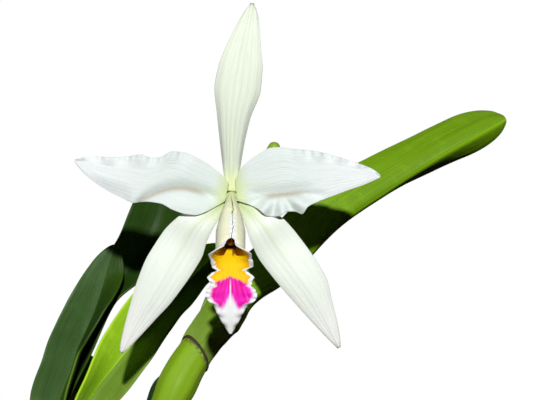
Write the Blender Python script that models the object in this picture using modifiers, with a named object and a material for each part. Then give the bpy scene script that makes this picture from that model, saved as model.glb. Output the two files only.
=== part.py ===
"""Cattleya orchid in a clay pot: one open flower and one bud on a leaning plant.

Metres, +Z up. The origin is the middle of the pot's underside, +X is to the viewer's right and the
flower looks along -Y. Lengths below are in millimetres and are scaled by MM where they become geometry.
"""

import math
import random

import bmesh
import bpy
from mathutils import Vector

MM = 0.001
COLLECTION = "cattleya_orchid"

# Clearance kept wherever two pieces touch
GAP = 0.3

# Clay pot
POT_HEIGHT = 100.0
POT_RIM_RADIUS = 63.0
POT_NECK_RADIUS = 57.5
POT_BASE_RADIUS = 43.0
POT_WALL = 5.0
POT_RIM_HEIGHT = 20.0
POT_FLOOR = 6.0
DRAIN_RADIUS = 5.0
DRAIN_CIRCLE = 22.0
DRAIN_COUNT = 3
POT_SIDES = 36
DRAIN_SIDES = 16
POT_EDGE = 1.2

# Bark that fills the pot, and the chips on its top
BARK_TOP = 88.0
CHIP_COUNT = 26
CHIP_SIZE = (17.0, 11.0, 6.5)
CHIP_REACH = 43.0
CHIP_LIFT = (-0.6, 0.8)
CHIP_TILT = 0.22
CHIP_SEED = 7

# Creeping stem on the bark, and its roots
RHIZOME_RADIUS = 3.6
RHIZOME_PATH = (
    (-5, -45, 89), (-8, -36, 90), (-2, -18, 90), (-12, -4, 90), (-24, 9, 90), (-19, 25, 90),
    (-9, 39, 90),
)
RHIZOME_SIDES = 8
ROOT_RADIUS = 1.4
ROOT_SIDES = 6
ROOTS = (
    ((-6, -40, 90), (8, -46, 92), (22, -43, 91), (33, -36, 80)),
    ((-8, -34, 90), (-22, -38, 92), (-34, -33, 90), (-40, -26, 79)),
    ((-2, -16, 90), (14, -14, 93), (28, -6, 91), (37, 4, 80)),
    ((-22, 8, 90), (-36, 4, 92), (-45, -3, 89), (-47, -10, 79)),
    ((-14, 30, 90), (2, 30, 93), (16, 35, 90), (24, 38, 79)),
)

# Pseudobulbs: path from the rhizome to the tip, and the greatest radius
PSEUDOBULBS = {
    "front": (
        (
            (-8, -36, 90), (-8, -35, 110), (-2.9, -32, 138.3), (6.3, -28.5, 165.7),
            (15.8, -25.5, 187.9), (20.8, -23, 197.9), (25.6, -20.5, 204.8), (30.8, -18, 208.3),
        ),
        8.4,
    ),
    "short": (((-2, -18, 90), (-2, -16, 108), (1, -11, 135), (5.5, -3, 165), (11.5, 4, 194.5)), 5.6),
    "middle": (((-12, -4, 90), (-15, -6, 108), (-19, -9, 135), (-23, -9.5, 160), (-24, -9, 172)), 7.4),
    "left": (((-24, 9, 90), (-29, 9, 106), (-36, 8, 132), (-40, 7, 155), (-39.5, 6.5, 168)), 7.4),
    "upper": (((-19, 25, 90), (-24, 26, 106), (-33, 27, 130), (-38.5, 27, 152), (-39, 27, 168)), 7.0),
    "old": (((-9, 39, 90), (-14, 40, 110), (-24, 41, 140), (-29, 41, 170), (-25, 41, 200)), 6.6),
}
# Share of the way up, and share of the greatest radius there
BULB_PROFILE = (
    (0.0, 0.50), (0.12, 0.48), (0.35, 0.54), (0.60, 0.70), (0.78, 0.87), (0.86, 1.0), (0.92, 0.93),
    (0.96, 0.74), (1.0, 0.24),
)
BULB_STEPS = (0.0, 0.12, 0.26, 0.42, 0.58, 0.72, 0.82, 0.89, 0.94, 0.975, 1.0)
BULB_SIDES = 10

# Dry papery sheaths: the bulb, how far up each starts and ends, and the flare at its upper edge
SHEATH_WALL = 0.8
SHEATH_WRAP = 172
SHEATHS = {
    "collar_front": ("front", 0.925, 0.945, 0.1),
    "sheath_front": ("front", 0.10, 0.42, 0.6),
    "sheath_short": ("short", 0.10, 0.50, 0.5),
    "sheath_middle": ("middle", 0.14, 0.60, 0.7),
    "sheath_left": ("left", 0.14, 0.62, 0.6),
    "sheath_upper": ("upper", 0.14, 0.66, 0.5),
    "sheath_old": ("old", 0.10, 0.90, 0.4),
}

# Strap leaves, base to tip: the fold's place, half the width, and how far the blade's left and right
# halves turn away from the viewer, in degrees
LEAF_THICKNESS = 1.8
LEAF_FOLD_SOFTNESS = 0.22
LEAF_GRID = (6, 21)
LEAVES = {
    "right": (
        "front",
        (
            (23.9, -28, 203.4, 10.5, 48, 52), (28.8, -29, 210.8, 12, 54, 52),
            (36.2, -29, 220.6, 13.4, 56, 52), (46.1, -24.5, 229.3, 15.8, 44, 64),
            (62, -16.5, 237.1, 18.4, 22, 88),
            (86, -4, 260, 18.9, 13, 92), (108, 4, 275, 17.4, 24, 90), (130, 10, 289, 16.2, 40, 78),
            (147, 14, 298.5, 15.4, 45, 68), (161, 18, 306, 15, 47, 58),
        ),
    ),
    "middle": (
        "middle",
        (
            (-24.9, -6, 167.4, 8, -52, -52), (-21.4, -8, 182.2, 12, -72, -34),
            (-17.2, -8, 189.5, 12.8, -68, -38), (-11.6, -7.5, 196.3, 13.7, -54, -44),
            (-5.7, -6, 203.2, 14.2, -38, -52), (-1.1, -3.5, 208.4, 14.6, -31, -58),
            (4.5, 0.7, 215.6, 14.8, -29, -62), (11.2, 7.6, 224.2, 14.2, -36, -64),
            (21, 15.2, 234, 14, -46, -68), (30, 18, 243, 12.5, -54, -60),
            (37, 18, 249, 10, -50, -48),
        ),
    ),
    "left": (
        "left",
        (
            (-39.5, 11.5, 162, 9, -52, -56), (-34.9, 12, 182.5, 14.2, -26, -84),
            (-30.1, 13, 195.3, 15.4, -31, -90), (-27.4, 14, 204.1, 15.6, -33, -89),
            (-24.4, 14, 210.7, 15.6, -34, -86), (-20.6, 14.5, 219.5, 15, -35, -80),
            (-18.2, 15.5, 226.9, 13.2, -36, -68), (-16, 16.5, 234.8, 9.8, -30, -46),
            (-14.3, 17, 240.5, 7.2, -24, -26), (-11, 17.5, 250, 4.2, -18, -18),
        ),
    ),
    "upper": (
        "upper",
        (
            (-39, 32, 162, 8, -52, -58), (-36, 29, 181, 14, -45, -80),
            (-24.7, 28, 205.2, 15, -46, -80), (-15.5, 27, 226.3, 13, -34, -76),
            (-2.4, 28, 245.2, 12, -34, -44), (5.4, 30, 259.1, 14, -38, -36),
            (9.2, 34, 272, 12.4, -40, -38), (12.1, 36, 283, 9.4, -40, -40),
        ),
    ),
}
LEAF_TIP_SHARE = 0.11
LEAF_TIP_HALF_WIDTH = 0.7

# Flower stem, its second stalk and the bud
STEM_PATH = (
    (28.3, -19, 207.8), (32.7, -13, 222.5), (35.1, -8, 235.2), (38, -13.5, 247), (41, -29, 258.5),
    (41.4, -43, 267.5), (41.4, -50, 270.6), (41.4, -56, 270.8),
)
STEM_RADII = (1.9, 1.8, 1.8, 1.9, 2.3, 2.7, 3.2, 3.9)
STEM_SIDES = 10
STALK_PATH = (
    (39, -15, 249.5), (43.5, -25, 261), (47, -28, 266), (51.5, -29, 269), (54.6, -29.6, 271.2),
    (55.6, -30, 273), (55.9, -30.4, 275),
)
STALK_RADII = (1.4, 1.4, 1.4, 1.4, 1.5, 1.6, 1.7)
STALK_SIDES = 8
BUD_LENGTH = 19.5
BUD_RADIUS = 4.3
BUD_LEAN = (0.16, -0.2, 1.0)
BUD_PROFILE = (
    (0.0, 0.42), (0.12, 0.66), (0.42, 1.0), (0.7, 0.88), (0.9, 0.58), (0.97, 0.38), (1.0, 0.12),
)
BUD_STEPS = (0.0, 0.08, 0.2, 0.35, 0.5, 0.65, 0.78, 0.88, 0.94, 0.98, 1.0)
BUD_SIDES = 12
SPATHE_SHARE = (0.03, 0.30)
SPATHE_WALL = 0.8

# Flower: the middle of its back, and how far in front of it each whorl starts
FLOWER_CENTRE = (41.4, -60.0, 270.8)
SEPAL_PLANE = -3.0
PETAL_PLANE = 0.0
PETAL_TUCK = 0.7
SEPAL_THICKNESS = 1.2
PETAL_THICKNESS = 1.0
LIP_THICKNESS = 0.9
PETAL_GRID = (10, 24)
SEPAL_GRID = (6, 18)
LIP_GRID = (12, 32)

# Each outline is a list of (distance from the base, upper or outer edge, lower or inner edge)
DORSAL_OUTLINE = (
    (0, 2.2, -2.2), (8, 4.2, -2.3), (18, 6.5, -2.8), (30, 9.1, -4.3), (42, 11.4, -7.3),
    (50, 10.6, -7.1), (58, 8.4, -5.6),
    (66, 5.6, -4.2), (72, 3.2, -2.8), (76.5, 0.5, -0.5),
)
LEFT_PETAL_OUTLINE = (
    (0, 4.5, -3.0), (3, 6.9, -6.0), (6, 8.7, -8.9), (10, 10.4, -11.1), (14, 11.6, -11.4),
    (19, 12.6, -10.8), (24, 12.0, -9.4),
    (28, 8.8, -9.6), (32, 7.6, -10.5), (35, 8.1, -11.5), (39, 7.0, -10.6), (45, 5.0, -9.2),
    (51, 3.9, -7.1), (57, 2.8, -4.1),
    (61.6, 0.5, -0.5),
)
RIGHT_PETAL_OUTLINE = (
    (0, 5.4, -2.9), (3, 10.0, -4.3), (7, 13.1, -6.9), (11, 15.1, -10.6), (15, 16.6, -11.0),
    (19, 16.4, -9.6), (22, 15.6, -10.0),
    (24.5, 15.0, -11.3), (27, 14.5, -8.6), (31, 13.6, -7.2), (38, 11.2, -5.4), (44, 8.6, -3.9),
    (50, 5.9, -2.6), (55, 3.1, -1.2),
    (57.3, 0.5, -0.5),
)
LEFT_SEPAL_OUTLINE = (
    (0, 1.9, -1.0), (5, 6.0, -1.6), (10, 9.5, -1.8), (16, 12.6, -2.6), (24, 14.0, -4.9),
    (34, 13.7, -5.3), (44, 11.8, -5.0),
    (54, 8.7, -3.6), (64, 5.2, -2.2), (70, 2.8, -1.2), (73.4, 0.9, -0.2),
)
RIGHT_SEPAL_OUTLINE = (
    (0, 1.9, -1.0), (5, 5.4, -1.9), (10, 9.0, -3.0), (16, 11.5, -4.8), (24, 12.4, -6.0),
    (34, 12.7, -5.5), (44, 12.1, -4.5),
    (54, 8.5, -3.3), (64, 4.6, -1.8), (69, 2.0, -0.8), (71, 0.5, -0.3),
)

# Lip: its middle line as (forward, down), the radius it is rolled to along that line, and the width
# of its two halves
LIP_LINE = (
    (0.8, 2.0), (3.6, 5.2), (8.3, 11.8), (14.8, 18.2), (19.5, 23.5), (22.0, 30.0), (23.2, 38.0),
    (22.8, 46.0), (20.6, 52.8),
)
LIP_LENGTH = sum(math.dist(a, b) for a, b in zip(LIP_LINE, LIP_LINE[1:]))
LIP_ROLL = (
    (0, 2.4), (3, 3.3), (7, 4.8), (11, 5.4), (28.3, 5.4), (29.8, 6.6), (31.2, 12.0), (33.0, 17.0),
    (58.7, 24.0),
)
LIP_CLOSE = 0.972
LIP_TUBE_END = 27.8
LIP_OUTLINE = (
    (30.0, 8.8, 9.2), (31.2, 7.9, 9.4), (32.2, 7.6, 9.3), (33.5, 5.5, 6.3), (34.8, 7.4, 7.4),
    (36.4, 9.5, 9.8), (38.1, 8.3, 8.6),
    (39.7, 7.7, 8.4), (41.4, 9.7, 10.2), (43.4, 10.0, 10.9), (45.4, 9.0, 10.0), (47.0, 6.8, 7.2),
    (50.8, 5.1, 4.8), (54.3, 3.4, 3.2),
    (56.8, 1.9, 1.7), (58.7, 0.5, 0.5),
)

# Column inside the rolled lip, as (forward, down) and radius, and its cap
COLUMN_LINE = (
    (-4.0 + GAP, 0.0), (-0.8, 0.0), (0.8, 0.0), (2.4, 0.2), (5.4, 1.7), (9.6, 5.3), (14.0, 9.6),
    (19.0, 14.8), (20.8, 16.6),
)
COLUMN_RADII = (2.2, 2.2, 1.3, 1.3, 2.0, 2.8, 3.1, 3.2, 2.5)
CAP_RADIUS = 2.2

FORWARD = Vector((0.0, -1.0, 0.0))
AWAY = Vector((0.0, 1.0, 0.0))


def clear_scene():
    for obj in list(bpy.data.objects):
        bpy.data.objects.remove(obj, do_unlink=True)


def make_collection(name):
    collection = bpy.data.collections.new(name)
    bpy.context.scene.collection.children.link(collection)
    return collection


def make_material(name, colour, roughness):
    material = bpy.data.materials.new(name)
    material.use_nodes = True
    shader = material.node_tree.nodes["Principled BSDF"]
    shader.inputs["Base Color"].default_value = (*colour, 1.0)
    shader.inputs["Roughness"].default_value = roughness
    shader.inputs["Metallic"].default_value = 0.0
    return material


def make_object(name, mesh, collection, material=None):
    obj = bpy.data.objects.new(name, mesh)
    collection.objects.link(obj)
    if material:
        mesh.materials.append(material)
    return obj


def remove_collection(collection):
    """Deletes helpers that a settled mesh no longer needs."""
    for obj in list(collection.objects):
        bpy.data.objects.remove(obj)
    bpy.data.collections.remove(collection)


def hide_cutter(obj):
    obj.hide_render = True
    obj.display_type = "WIRE"


def smooth_value(rows, column, x):
    """Column of rows at x, on a cubic curve whose slopes come from the neighbouring rows."""
    last = len(rows) - 2
    i = 0
    while i < last and x > rows[i + 1][0]:
        i += 1
    x0, x1 = rows[i][0], rows[i + 1][0]
    y0, y1 = rows[i][column], rows[i + 1][column]
    slope = (y1 - y0) / (x1 - x0)
    start = slope_at(rows, column, i) if i > 0 else slope
    end = slope_at(rows, column, i + 1) if i < last else slope
    s = min(max((x - x0) / (x1 - x0), 0.0), 1.0)
    width = x1 - x0
    return (
        y0 * (1 + 2 * s) * (1 - s) ** 2
        + y1 * s * s * (3 - 2 * s)
        + width * start * s * (1 - s) ** 2
        - width * end * s * s * (1 - s)
    )


def slope_at(rows, column, i):
    """Slope through row i, flat where the curve turns there, so that it never overshoots."""
    before = (rows[i][column] - rows[i - 1][column]) / (rows[i][0] - rows[i - 1][0])
    after = (rows[i + 1][column] - rows[i][column]) / (rows[i + 1][0] - rows[i][0])
    if before * after <= 0:
        return 0.0
    return 2 * before * after / (before + after)


def with_distance(points):
    """The points as rows that start with the share of the path's length so far."""
    lengths = [0.0]
    for a, b in zip(points, points[1:]):
        lengths.append(lengths[-1] + math.dist(a[:3], b[:3]))
    return [(length / lengths[-1], *point) for length, point in zip(lengths, points)]


def catmull_value(rows, column, x):
    """Column of rows at x, on a curve that may swing a little past its rows, as a bent stem does."""
    last = len(rows) - 2
    i = 0
    while i < last and x > rows[i + 1][0]:
        i += 1
    before, after = rows[max(i - 1, 0)], rows[min(i + 2, last + 1)]
    a, b = rows[i], rows[i + 1]
    width = b[0] - a[0]
    start = (b[column] - before[column]) / (b[0] - before[0])
    end = (after[column] - a[column]) / (after[0] - a[0])
    s = min(max((x - a[0]) / width, 0.0), 1.0)
    return (
        a[column] * (1 + 2 * s) * (1 - s) ** 2
        + b[column] * s * s * (3 - 2 * s)
        + width * start * s * (1 - s) ** 2
        - width * end * s * s * (1 - s)
    )


def path_point(rows, share):
    return Vector(catmull_value(rows, column, share) for column in (1, 2, 3))


def path_direction(rows, share, step=0.01):
    ahead = path_point(rows, min(share + step, 1.0))
    behind = path_point(rows, max(share - step, 0.0))
    return (ahead - behind).normalized()


def away_from(direction):
    """The direction away from the viewer, square to the given one."""
    return (AWAY - direction * AWAY.dot(direction)).normalized()


def grid_surface(name, across, along, place, thickness, collection, material):
    """A grid laid on place(share along, -1 to 1 across), made solid."""
    bm = bmesh.new()
    bmesh.ops.create_grid(bm, x_segments=across, y_segments=along, size=1.0)
    for vert in bm.verts:
        vert.co = place((vert.co.y + 1) / 2, vert.co.x) * MM
    bmesh.ops.triangulate(bm, faces=bm.faces)
    mesh = bpy.data.meshes.new(name)
    bm.to_mesh(mesh)
    bm.free()
    mesh.shade_smooth()
    obj = make_object(name, mesh, collection, material)
    solid = obj.modifiers.new("wall", "SOLIDIFY")
    solid.thickness = thickness * MM
    solid.offset = 0.0
    return obj


def settle(obj):
    """Replaces the object's mesh by what its modifiers make of it."""
    graph = bpy.context.evaluated_depsgraph_get()
    mesh = bpy.data.meshes.new_from_object(obj.evaluated_get(graph))
    obj.modifiers.clear()
    obj.data = mesh
    return obj


def stem_point(rows, shares, i, grow):
    """Point i of a stem, whose first and last points are drawn out by grow."""
    point = path_point(rows, shares[i])
    if i == 0:
        point -= path_direction(rows, shares[i]) * grow
    if i == len(shares) - 1:
        point += path_direction(rows, shares[i]) * grow
    return point * MM


def round_stem(name, rows, shares, radius_at, sides, collection, material=None, grow=0.0):
    """A round stem along rows as a mesh with closed ends, larger by grow all round."""
    curve = bpy.data.curves.new(name, "CURVE")
    curve.dimensions = "3D"
    curve.bevel_depth = MM
    curve.bevel_resolution = sides // 2 - 2
    curve.use_fill_caps = True
    spline = curve.splines.new("POLY")
    spline.points.add(len(shares) - 1)
    for i, point in enumerate(spline.points):
        point.co = (*stem_point(rows, shares, i, grow), 1.0)
        point.radius = radius_at(shares[i]) + grow
    helper = bpy.data.objects.new(name, curve)
    collection.objects.link(helper)
    graph = bpy.context.evaluated_depsgraph_get()
    mesh = bpy.data.meshes.new_from_object(helper.evaluated_get(graph))
    bpy.data.objects.remove(helper)
    bm = bmesh.new()
    bm.from_mesh(mesh)
    bmesh.ops.remove_doubles(bm, verts=bm.verts, dist=1e-6)
    bmesh.ops.recalc_face_normals(bm, faces=bm.faces)
    bm.to_mesh(mesh)
    bm.free()
    mesh.shade_smooth()
    return make_object(name, mesh, collection, material)


def drop_scraps(obj):
    """Deletes all but the largest of the bodies that cuts have left of a mesh."""
    bm = bmesh.new()
    bm.from_mesh(obj.data)
    left = set(bm.verts)
    bodies = []
    while left:
        body = set()
        edge_of_body = {left.pop()}
        while edge_of_body:
            vert = edge_of_body.pop()
            body.add(vert)
            near = {edge.other_vert(vert) for edge in vert.link_edges} - body
            edge_of_body |= near
        left -= body
        bodies.append(body)
    bodies.sort(key=len)
    scraps = [vert for body in bodies[:-1] for vert in body]
    bmesh.ops.delete(bm, geom=scraps, context="VERTS")
    bm.to_mesh(obj.data)
    bm.free()


def even_shares(count):
    return [i / count for i in range(count + 1)]


def add_boolean(obj, operation, operand=None, collection=None):
    boolean = obj.modifiers.new(operation.lower(), "BOOLEAN")
    boolean.operation = operation
    boolean.solver = "EXACT"
    if collection:
        boolean.operand_type = "COLLECTION"
        boolean.collection = collection
    else:
        boolean.object = operand
    return boolean


def turned(name, profile, collection, material, steps):
    """A solid of revolution about Z from (radius, height) points that run down its outer side."""
    mesh = bpy.data.meshes.new(name)
    points = [(radius * MM, 0.0, height * MM) for radius, height in profile]
    edges = [(i, i + 1) for i in range(len(points) - 1)]
    mesh.from_pydata(points, edges, [])
    obj = make_object(name, mesh, collection, material)
    screw = obj.modifiers.new("turn", "SCREW")
    screw.steps = steps
    screw.render_steps = steps
    screw.use_merge_vertices = True
    screw.merge_threshold = 0.00001
    screw.use_smooth_shade = True
    return obj


def pot_inner_radius(height):
    """Radius of the pot's inner wall, which tapers from the floor to the mouth."""
    share = (height - POT_FLOOR) / (POT_HEIGHT - POT_FLOOR)
    bottom = POT_BASE_RADIUS - POT_WALL + 1.0
    top = POT_RIM_RADIUS - POT_WALL
    return bottom + (top - bottom) * share


def build_pot(parts, cutters, clay):
    rim_bottom = POT_HEIGHT - POT_RIM_HEIGHT
    edge = POT_EDGE
    profile = (
        (0.0, POT_FLOOR),
        (pot_inner_radius(POT_FLOOR), POT_FLOOR),
        (pot_inner_radius(POT_HEIGHT - edge), POT_HEIGHT - edge),
        (pot_inner_radius(POT_HEIGHT) + edge, POT_HEIGHT),
        (POT_RIM_RADIUS - edge, POT_HEIGHT),
        (POT_RIM_RADIUS, POT_HEIGHT - edge),
        (POT_RIM_RADIUS - 0.8, rim_bottom + edge),
        (POT_RIM_RADIUS - 1.6, rim_bottom),
        (POT_NECK_RADIUS, rim_bottom - 1.5),
        (POT_BASE_RADIUS + 0.6, 1.5),
        (POT_BASE_RADIUS - 1.0, 0.0),
        (0.0, 0.0),
    )
    pot = turned("pot", profile, parts, clay, POT_SIDES)
    for i in range(DRAIN_COUNT):
        angle = 2 * math.pi * i / DRAIN_COUNT
        bm = bmesh.new()
        bmesh.ops.create_cone(
            bm,
            cap_ends=True,
            segments=DRAIN_SIDES,
            radius1=DRAIN_RADIUS * MM,
            radius2=DRAIN_RADIUS * MM,
            depth=3 * POT_FLOOR * MM,
        )
        mesh = bpy.data.meshes.new(f"drain_{i + 1}")
        bm.to_mesh(mesh)
        bm.free()
        drain = make_object(f"drain_{i + 1}", mesh, cutters)
        drain.location = Vector((math.cos(angle), math.sin(angle), 0.0)) * DRAIN_CIRCLE * MM
        hide_cutter(drain)
        add_boolean(pot, "DIFFERENCE", drain)


def bulb_rows(name):
    return with_distance(PSEUDOBULBS[name][0])


def bulb_radius(name, share):
    return PSEUDOBULBS[name][1] * smooth_value(BULB_PROFILE, 1, share)


def build_bulb(name, node, collection, material=None, grow=0.0):
    """One pseudobulb, or with grow a slightly larger copy that cuts its neighbours."""
    return round_stem(
        node,
        bulb_rows(name),
        BULB_STEPS,
        lambda share: bulb_radius(name, share),
        BULB_SIDES,
        collection,
        material,
        grow,
    )


def build_rhizome(node, collection, material=None, grow=0.0):
    """The creeping stem and its roots as one body."""
    rows = with_distance(RHIZOME_PATH)

    def rhizome_radius(share):
        end = min(share, 1 - share) / 0.04
        return RHIZOME_RADIUS * min(1.0, 0.45 + 0.55 * end)

    rhizome = round_stem(
        node, rows, even_shares(18), rhizome_radius, RHIZOME_SIDES, collection, material, grow
    )
    roots = make_collection(node + "_roots")
    for i, points in enumerate(ROOTS):
        round_stem(
            f"{node}_root_{i + 1}",
            with_distance(points),
            even_shares(7),
            lambda share: ROOT_RADIUS,
            ROOT_SIDES,
            roots,
            grow=grow,
        )
    add_boolean(rhizome, "UNION", collection=roots)
    settle(rhizome)
    remove_collection(roots)
    return rhizome


def build_bark(parts, material):
    """Bark mix as one body: a turned fill with chips sunk into its top."""
    floor = POT_FLOOR + GAP
    shoulder = BARK_TOP - 2.0
    profile = (
        (0.0, BARK_TOP),
        (30.0, BARK_TOP),
        (pot_inner_radius(shoulder) - GAP - 3.0, BARK_TOP - 0.6),
        (pot_inner_radius(shoulder) - GAP, shoulder),
        (pot_inner_radius(floor) - GAP, floor),
        (0.0, floor),
    )
    bark = turned("bark_mix", profile, parts, material, 24)
    chips = make_collection("bark_chips")
    draw = random.Random(CHIP_SEED)
    golden_turn = math.pi * (3 - math.sqrt(5))
    for i in range(CHIP_COUNT):
        reach = CHIP_REACH * math.sqrt((i + 0.6) / CHIP_COUNT)
        angle = i * golden_turn
        bm = bmesh.new()
        bmesh.ops.create_cube(bm, size=MM)
        size = [length * draw.uniform(0.8, 1.15) for length in CHIP_SIZE]
        bmesh.ops.scale(bm, vec=size, verts=bm.verts)
        mesh = bpy.data.meshes.new(f"chip_{i + 1}")
        bm.to_mesh(mesh)
        bm.free()
        chip = make_object(f"chip_{i + 1}", mesh, chips)
        height = BARK_TOP + draw.uniform(*CHIP_LIFT)
        chip.location = Vector((reach * math.cos(angle), reach * math.sin(angle), height)) * MM
        tilt = (draw.uniform(-CHIP_TILT, CHIP_TILT), draw.uniform(-CHIP_TILT, CHIP_TILT))
        chip.rotation_euler = (*tilt, draw.uniform(0, math.pi))
    bpy.context.view_layer.update()
    add_boolean(bark, "UNION", collection=chips)
    settle(bark)
    remove_collection(chips)
    return bark


def build_collar_cutter(cutters):
    """Room for the collar of the front bulb, which its leaf stands clear of."""
    bulb, start, end, flare = SHEATHS["collar_front"]
    shares = (start - 0.015, end, end + 0.006)
    grow = 2 * GAP + SHEATH_WALL + flare + 0.4
    cutter = round_stem(
        "cut_collar",
        bulb_rows(bulb),
        shares,
        lambda share: bulb_radius(bulb, share) + grow,
        16,
        cutters,
    )
    hide_cutter(cutter)


def build_sheath(node, bulb, start, end, flare, parts, material):
    """A papery sleeve round a bulb, split down the back."""
    rows = bulb_rows(bulb)
    wrap = math.radians(SHEATH_WRAP)

    def place(along, across):
        share = start + (end - start) * along
        direction = path_direction(rows, share)
        away = away_from(direction)
        side = away.cross(direction)
        clear = bulb_radius(bulb, share) / math.cos(math.pi / BULB_SIDES) + GAP
        radius = clear + SHEATH_WALL / 2 + flare * along**3
        angle = across * wrap
        turned_side = side * math.sin(angle) - away * math.cos(angle)
        return path_point(rows, share) + turned_side * radius

    rings = max(1, round((end - start) * 8))
    grid_surface(node, 12, rings, place, SHEATH_WALL, parts, material)


def leaf_half_width(rows, share):
    """Half the blade's width, closed to a round tip."""
    width = smooth_value(rows, 4, share)
    left = min((1 - share) / LEAF_TIP_SHARE, 1.0)
    return LEAF_TIP_HALF_WIDTH + (width - LEAF_TIP_HALF_WIDTH) * math.sqrt(1 - (1 - left) ** 2)


def leaf_place(rows):
    """The blade's surface: two halves that turn away from the viewer about a soft fold."""

    def place(along, across):
        share = 1 - (1 - along) ** 1.15
        direction = path_direction(rows, share)
        away = away_from(direction)
        side = direction.cross(away)
        left_turn = math.radians(smooth_value(rows, 5, share))
        right_turn = math.radians(smooth_value(rows, 6, share))
        left = side * math.cos(left_turn) + away * math.sin(left_turn)
        right = -side * math.cos(right_turn) + away * math.sin(right_turn)
        soft = math.hypot(across, LEAF_FOLD_SOFTNESS)
        left_share = (soft - across - LEAF_FOLD_SOFTNESS) / 2
        right_share = (soft + across - LEAF_FOLD_SOFTNESS) / 2
        width = leaf_half_width(rows, share) / (1 - LEAF_FOLD_SOFTNESS / 2)
        return path_point(rows, share) + (left * left_share + right * right_share) * width

    return place


def build_leaf(name, parts, cutters, material):
    bulb, stations = LEAVES[name]
    rows = with_distance(stations)
    place = leaf_place(rows)
    leaf = grid_surface(f"leaf_{name}", *LEAF_GRID, place, LEAF_THICKNESS, parts, material)
    add_boolean(leaf, "DIFFERENCE", cutters.objects[f"cut_pseudobulb_{bulb}"])
    if bulb == "front":
        add_boolean(leaf, "DIFFERENCE", cutters.objects["cut_collar"])
    settle(leaf)
    drop_scraps(leaf)


def tepal_place(start, angle, outline, outer_side, plane, relief, tuck):
    """A petal or sepal: an outline along a straight axis, with relief towards the viewer.

    Its foot is drawn in by tuck to meet the column.
    """
    axis = Vector((math.cos(angle), 0.0, math.sin(angle)))
    side = Vector((-axis.z, 0.0, axis.x)) * outer_side
    base = Vector(FLOWER_CENTRE) + Vector((start[0], 0.0, start[1]))
    length = outline[-1][0]

    def place(along, across):
        distance = length * (1 - (1 - along) ** 1.2)
        outer = smooth_value(outline, 1, distance)
        inner = smooth_value(outline, 2, distance)
        offset = (outer + inner) / 2 + across * (outer - inner) / 2
        forward = plane + relief(distance, offset, across)
        reach = distance - tuck * (1 - ramp(distance, 0, 8))
        return base + axis * reach + side * offset + FORWARD * forward

    return place


def ramp(x, start, end):
    """0 before start, 1 after end and a soft rise between."""
    s = min(max((x - start) / (end - start), 0.0), 1.0)
    return s * s * (3 - 2 * s)


def dorsal_relief(distance, offset, across):
    arch = 4.0 * math.sin(math.pi * distance / 80) - 4.5 * (distance / 76) ** 3
    roll = 2.6 * ramp(distance, 2, 14) * (1 - 0.75 * ramp(distance, 34, 60))
    midrib = 0.5 * math.exp(-((across / 0.2) ** 2)) * ramp(distance, 0, 10)
    return arch - roll * abs(across) ** 2.5 + midrib


def left_petal_relief(distance, offset, across):
    """A gentle arch with one large lobe that lifts forward below a curved valley."""
    arch = 5.0 * math.sin(math.pi * distance / 70) - 3.0 * (distance / 62) ** 2
    valley_line = -1.0 - 0.05 * (distance - 14) ** 2 * (0.35 if distance < 14 else 0.55)
    below = valley_line - offset
    present = ramp(distance, 1, 7) * (1 - ramp(distance, 31, 37))
    valley = -1.8 * math.exp(-((below / 2.6) ** 2)) * present
    lobe = 1.6 * ramp(below, 0.5, 8.5) * present
    crimp = 0.9 * math.sin(distance * 0.55 + 0.6) * ramp(across, 0.35, 1.0) * ramp(distance, 12, 22)
    fold = -1.3 * ramp(-across, 0.2, 1.0) * ramp(distance, 33, 40) * (1 - ramp(distance, 46, 58))
    return arch + valley + lobe + crimp + fold


def right_petal_relief(distance, offset, across):
    """A gentle arch whose lower edge is gathered in ruffles that spread from one point."""
    arch = 5.0 * math.sin(math.pi * distance / 66) - 3.0 * (distance / 58) ** 2
    turn = math.atan2(offset + 0.5, distance - 16.5)
    reach = math.hypot(offset + 0.5, distance - 16.5)
    lower = ramp(-offset, 0.5, 4.5) * ramp(distance, 2, 7) * (1 - ramp(distance, 30, 38))
    ruffle = 1.5 * math.sin(7.5 * turn + 0.5) * ramp(reach, 2.5, 9.5) * lower
    lobe = 1.2 * ramp(-offset, 2.0, 9.0) * lower
    present = ramp(distance, 2, 8) * (1 - ramp(distance, 24, 34))
    valley = -1.4 * math.exp(-(((offset + 1.5) / 2.4) ** 2)) * present
    crimp = 0.8 * math.sin(distance * 0.8) * ramp(across, 0.45, 1.0) * ramp(distance, 20, 30)
    return arch + ruffle + lobe + valley + crimp


def lateral_relief(distance, offset, across):
    arch = 3.2 * math.sin(math.pi * distance / 74) ** 2 - 3.5 * (distance / 74) ** 2
    roll = 1.7 * abs(across) ** 2.2 * ramp(distance, 2, 16)
    shoulder = 3.6 * math.exp(-(((distance - 13) / 9) ** 2))
    midrib = 0.4 * math.exp(-((across / 0.22) ** 2))
    return arch + shoulder - roll + midrib


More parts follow.
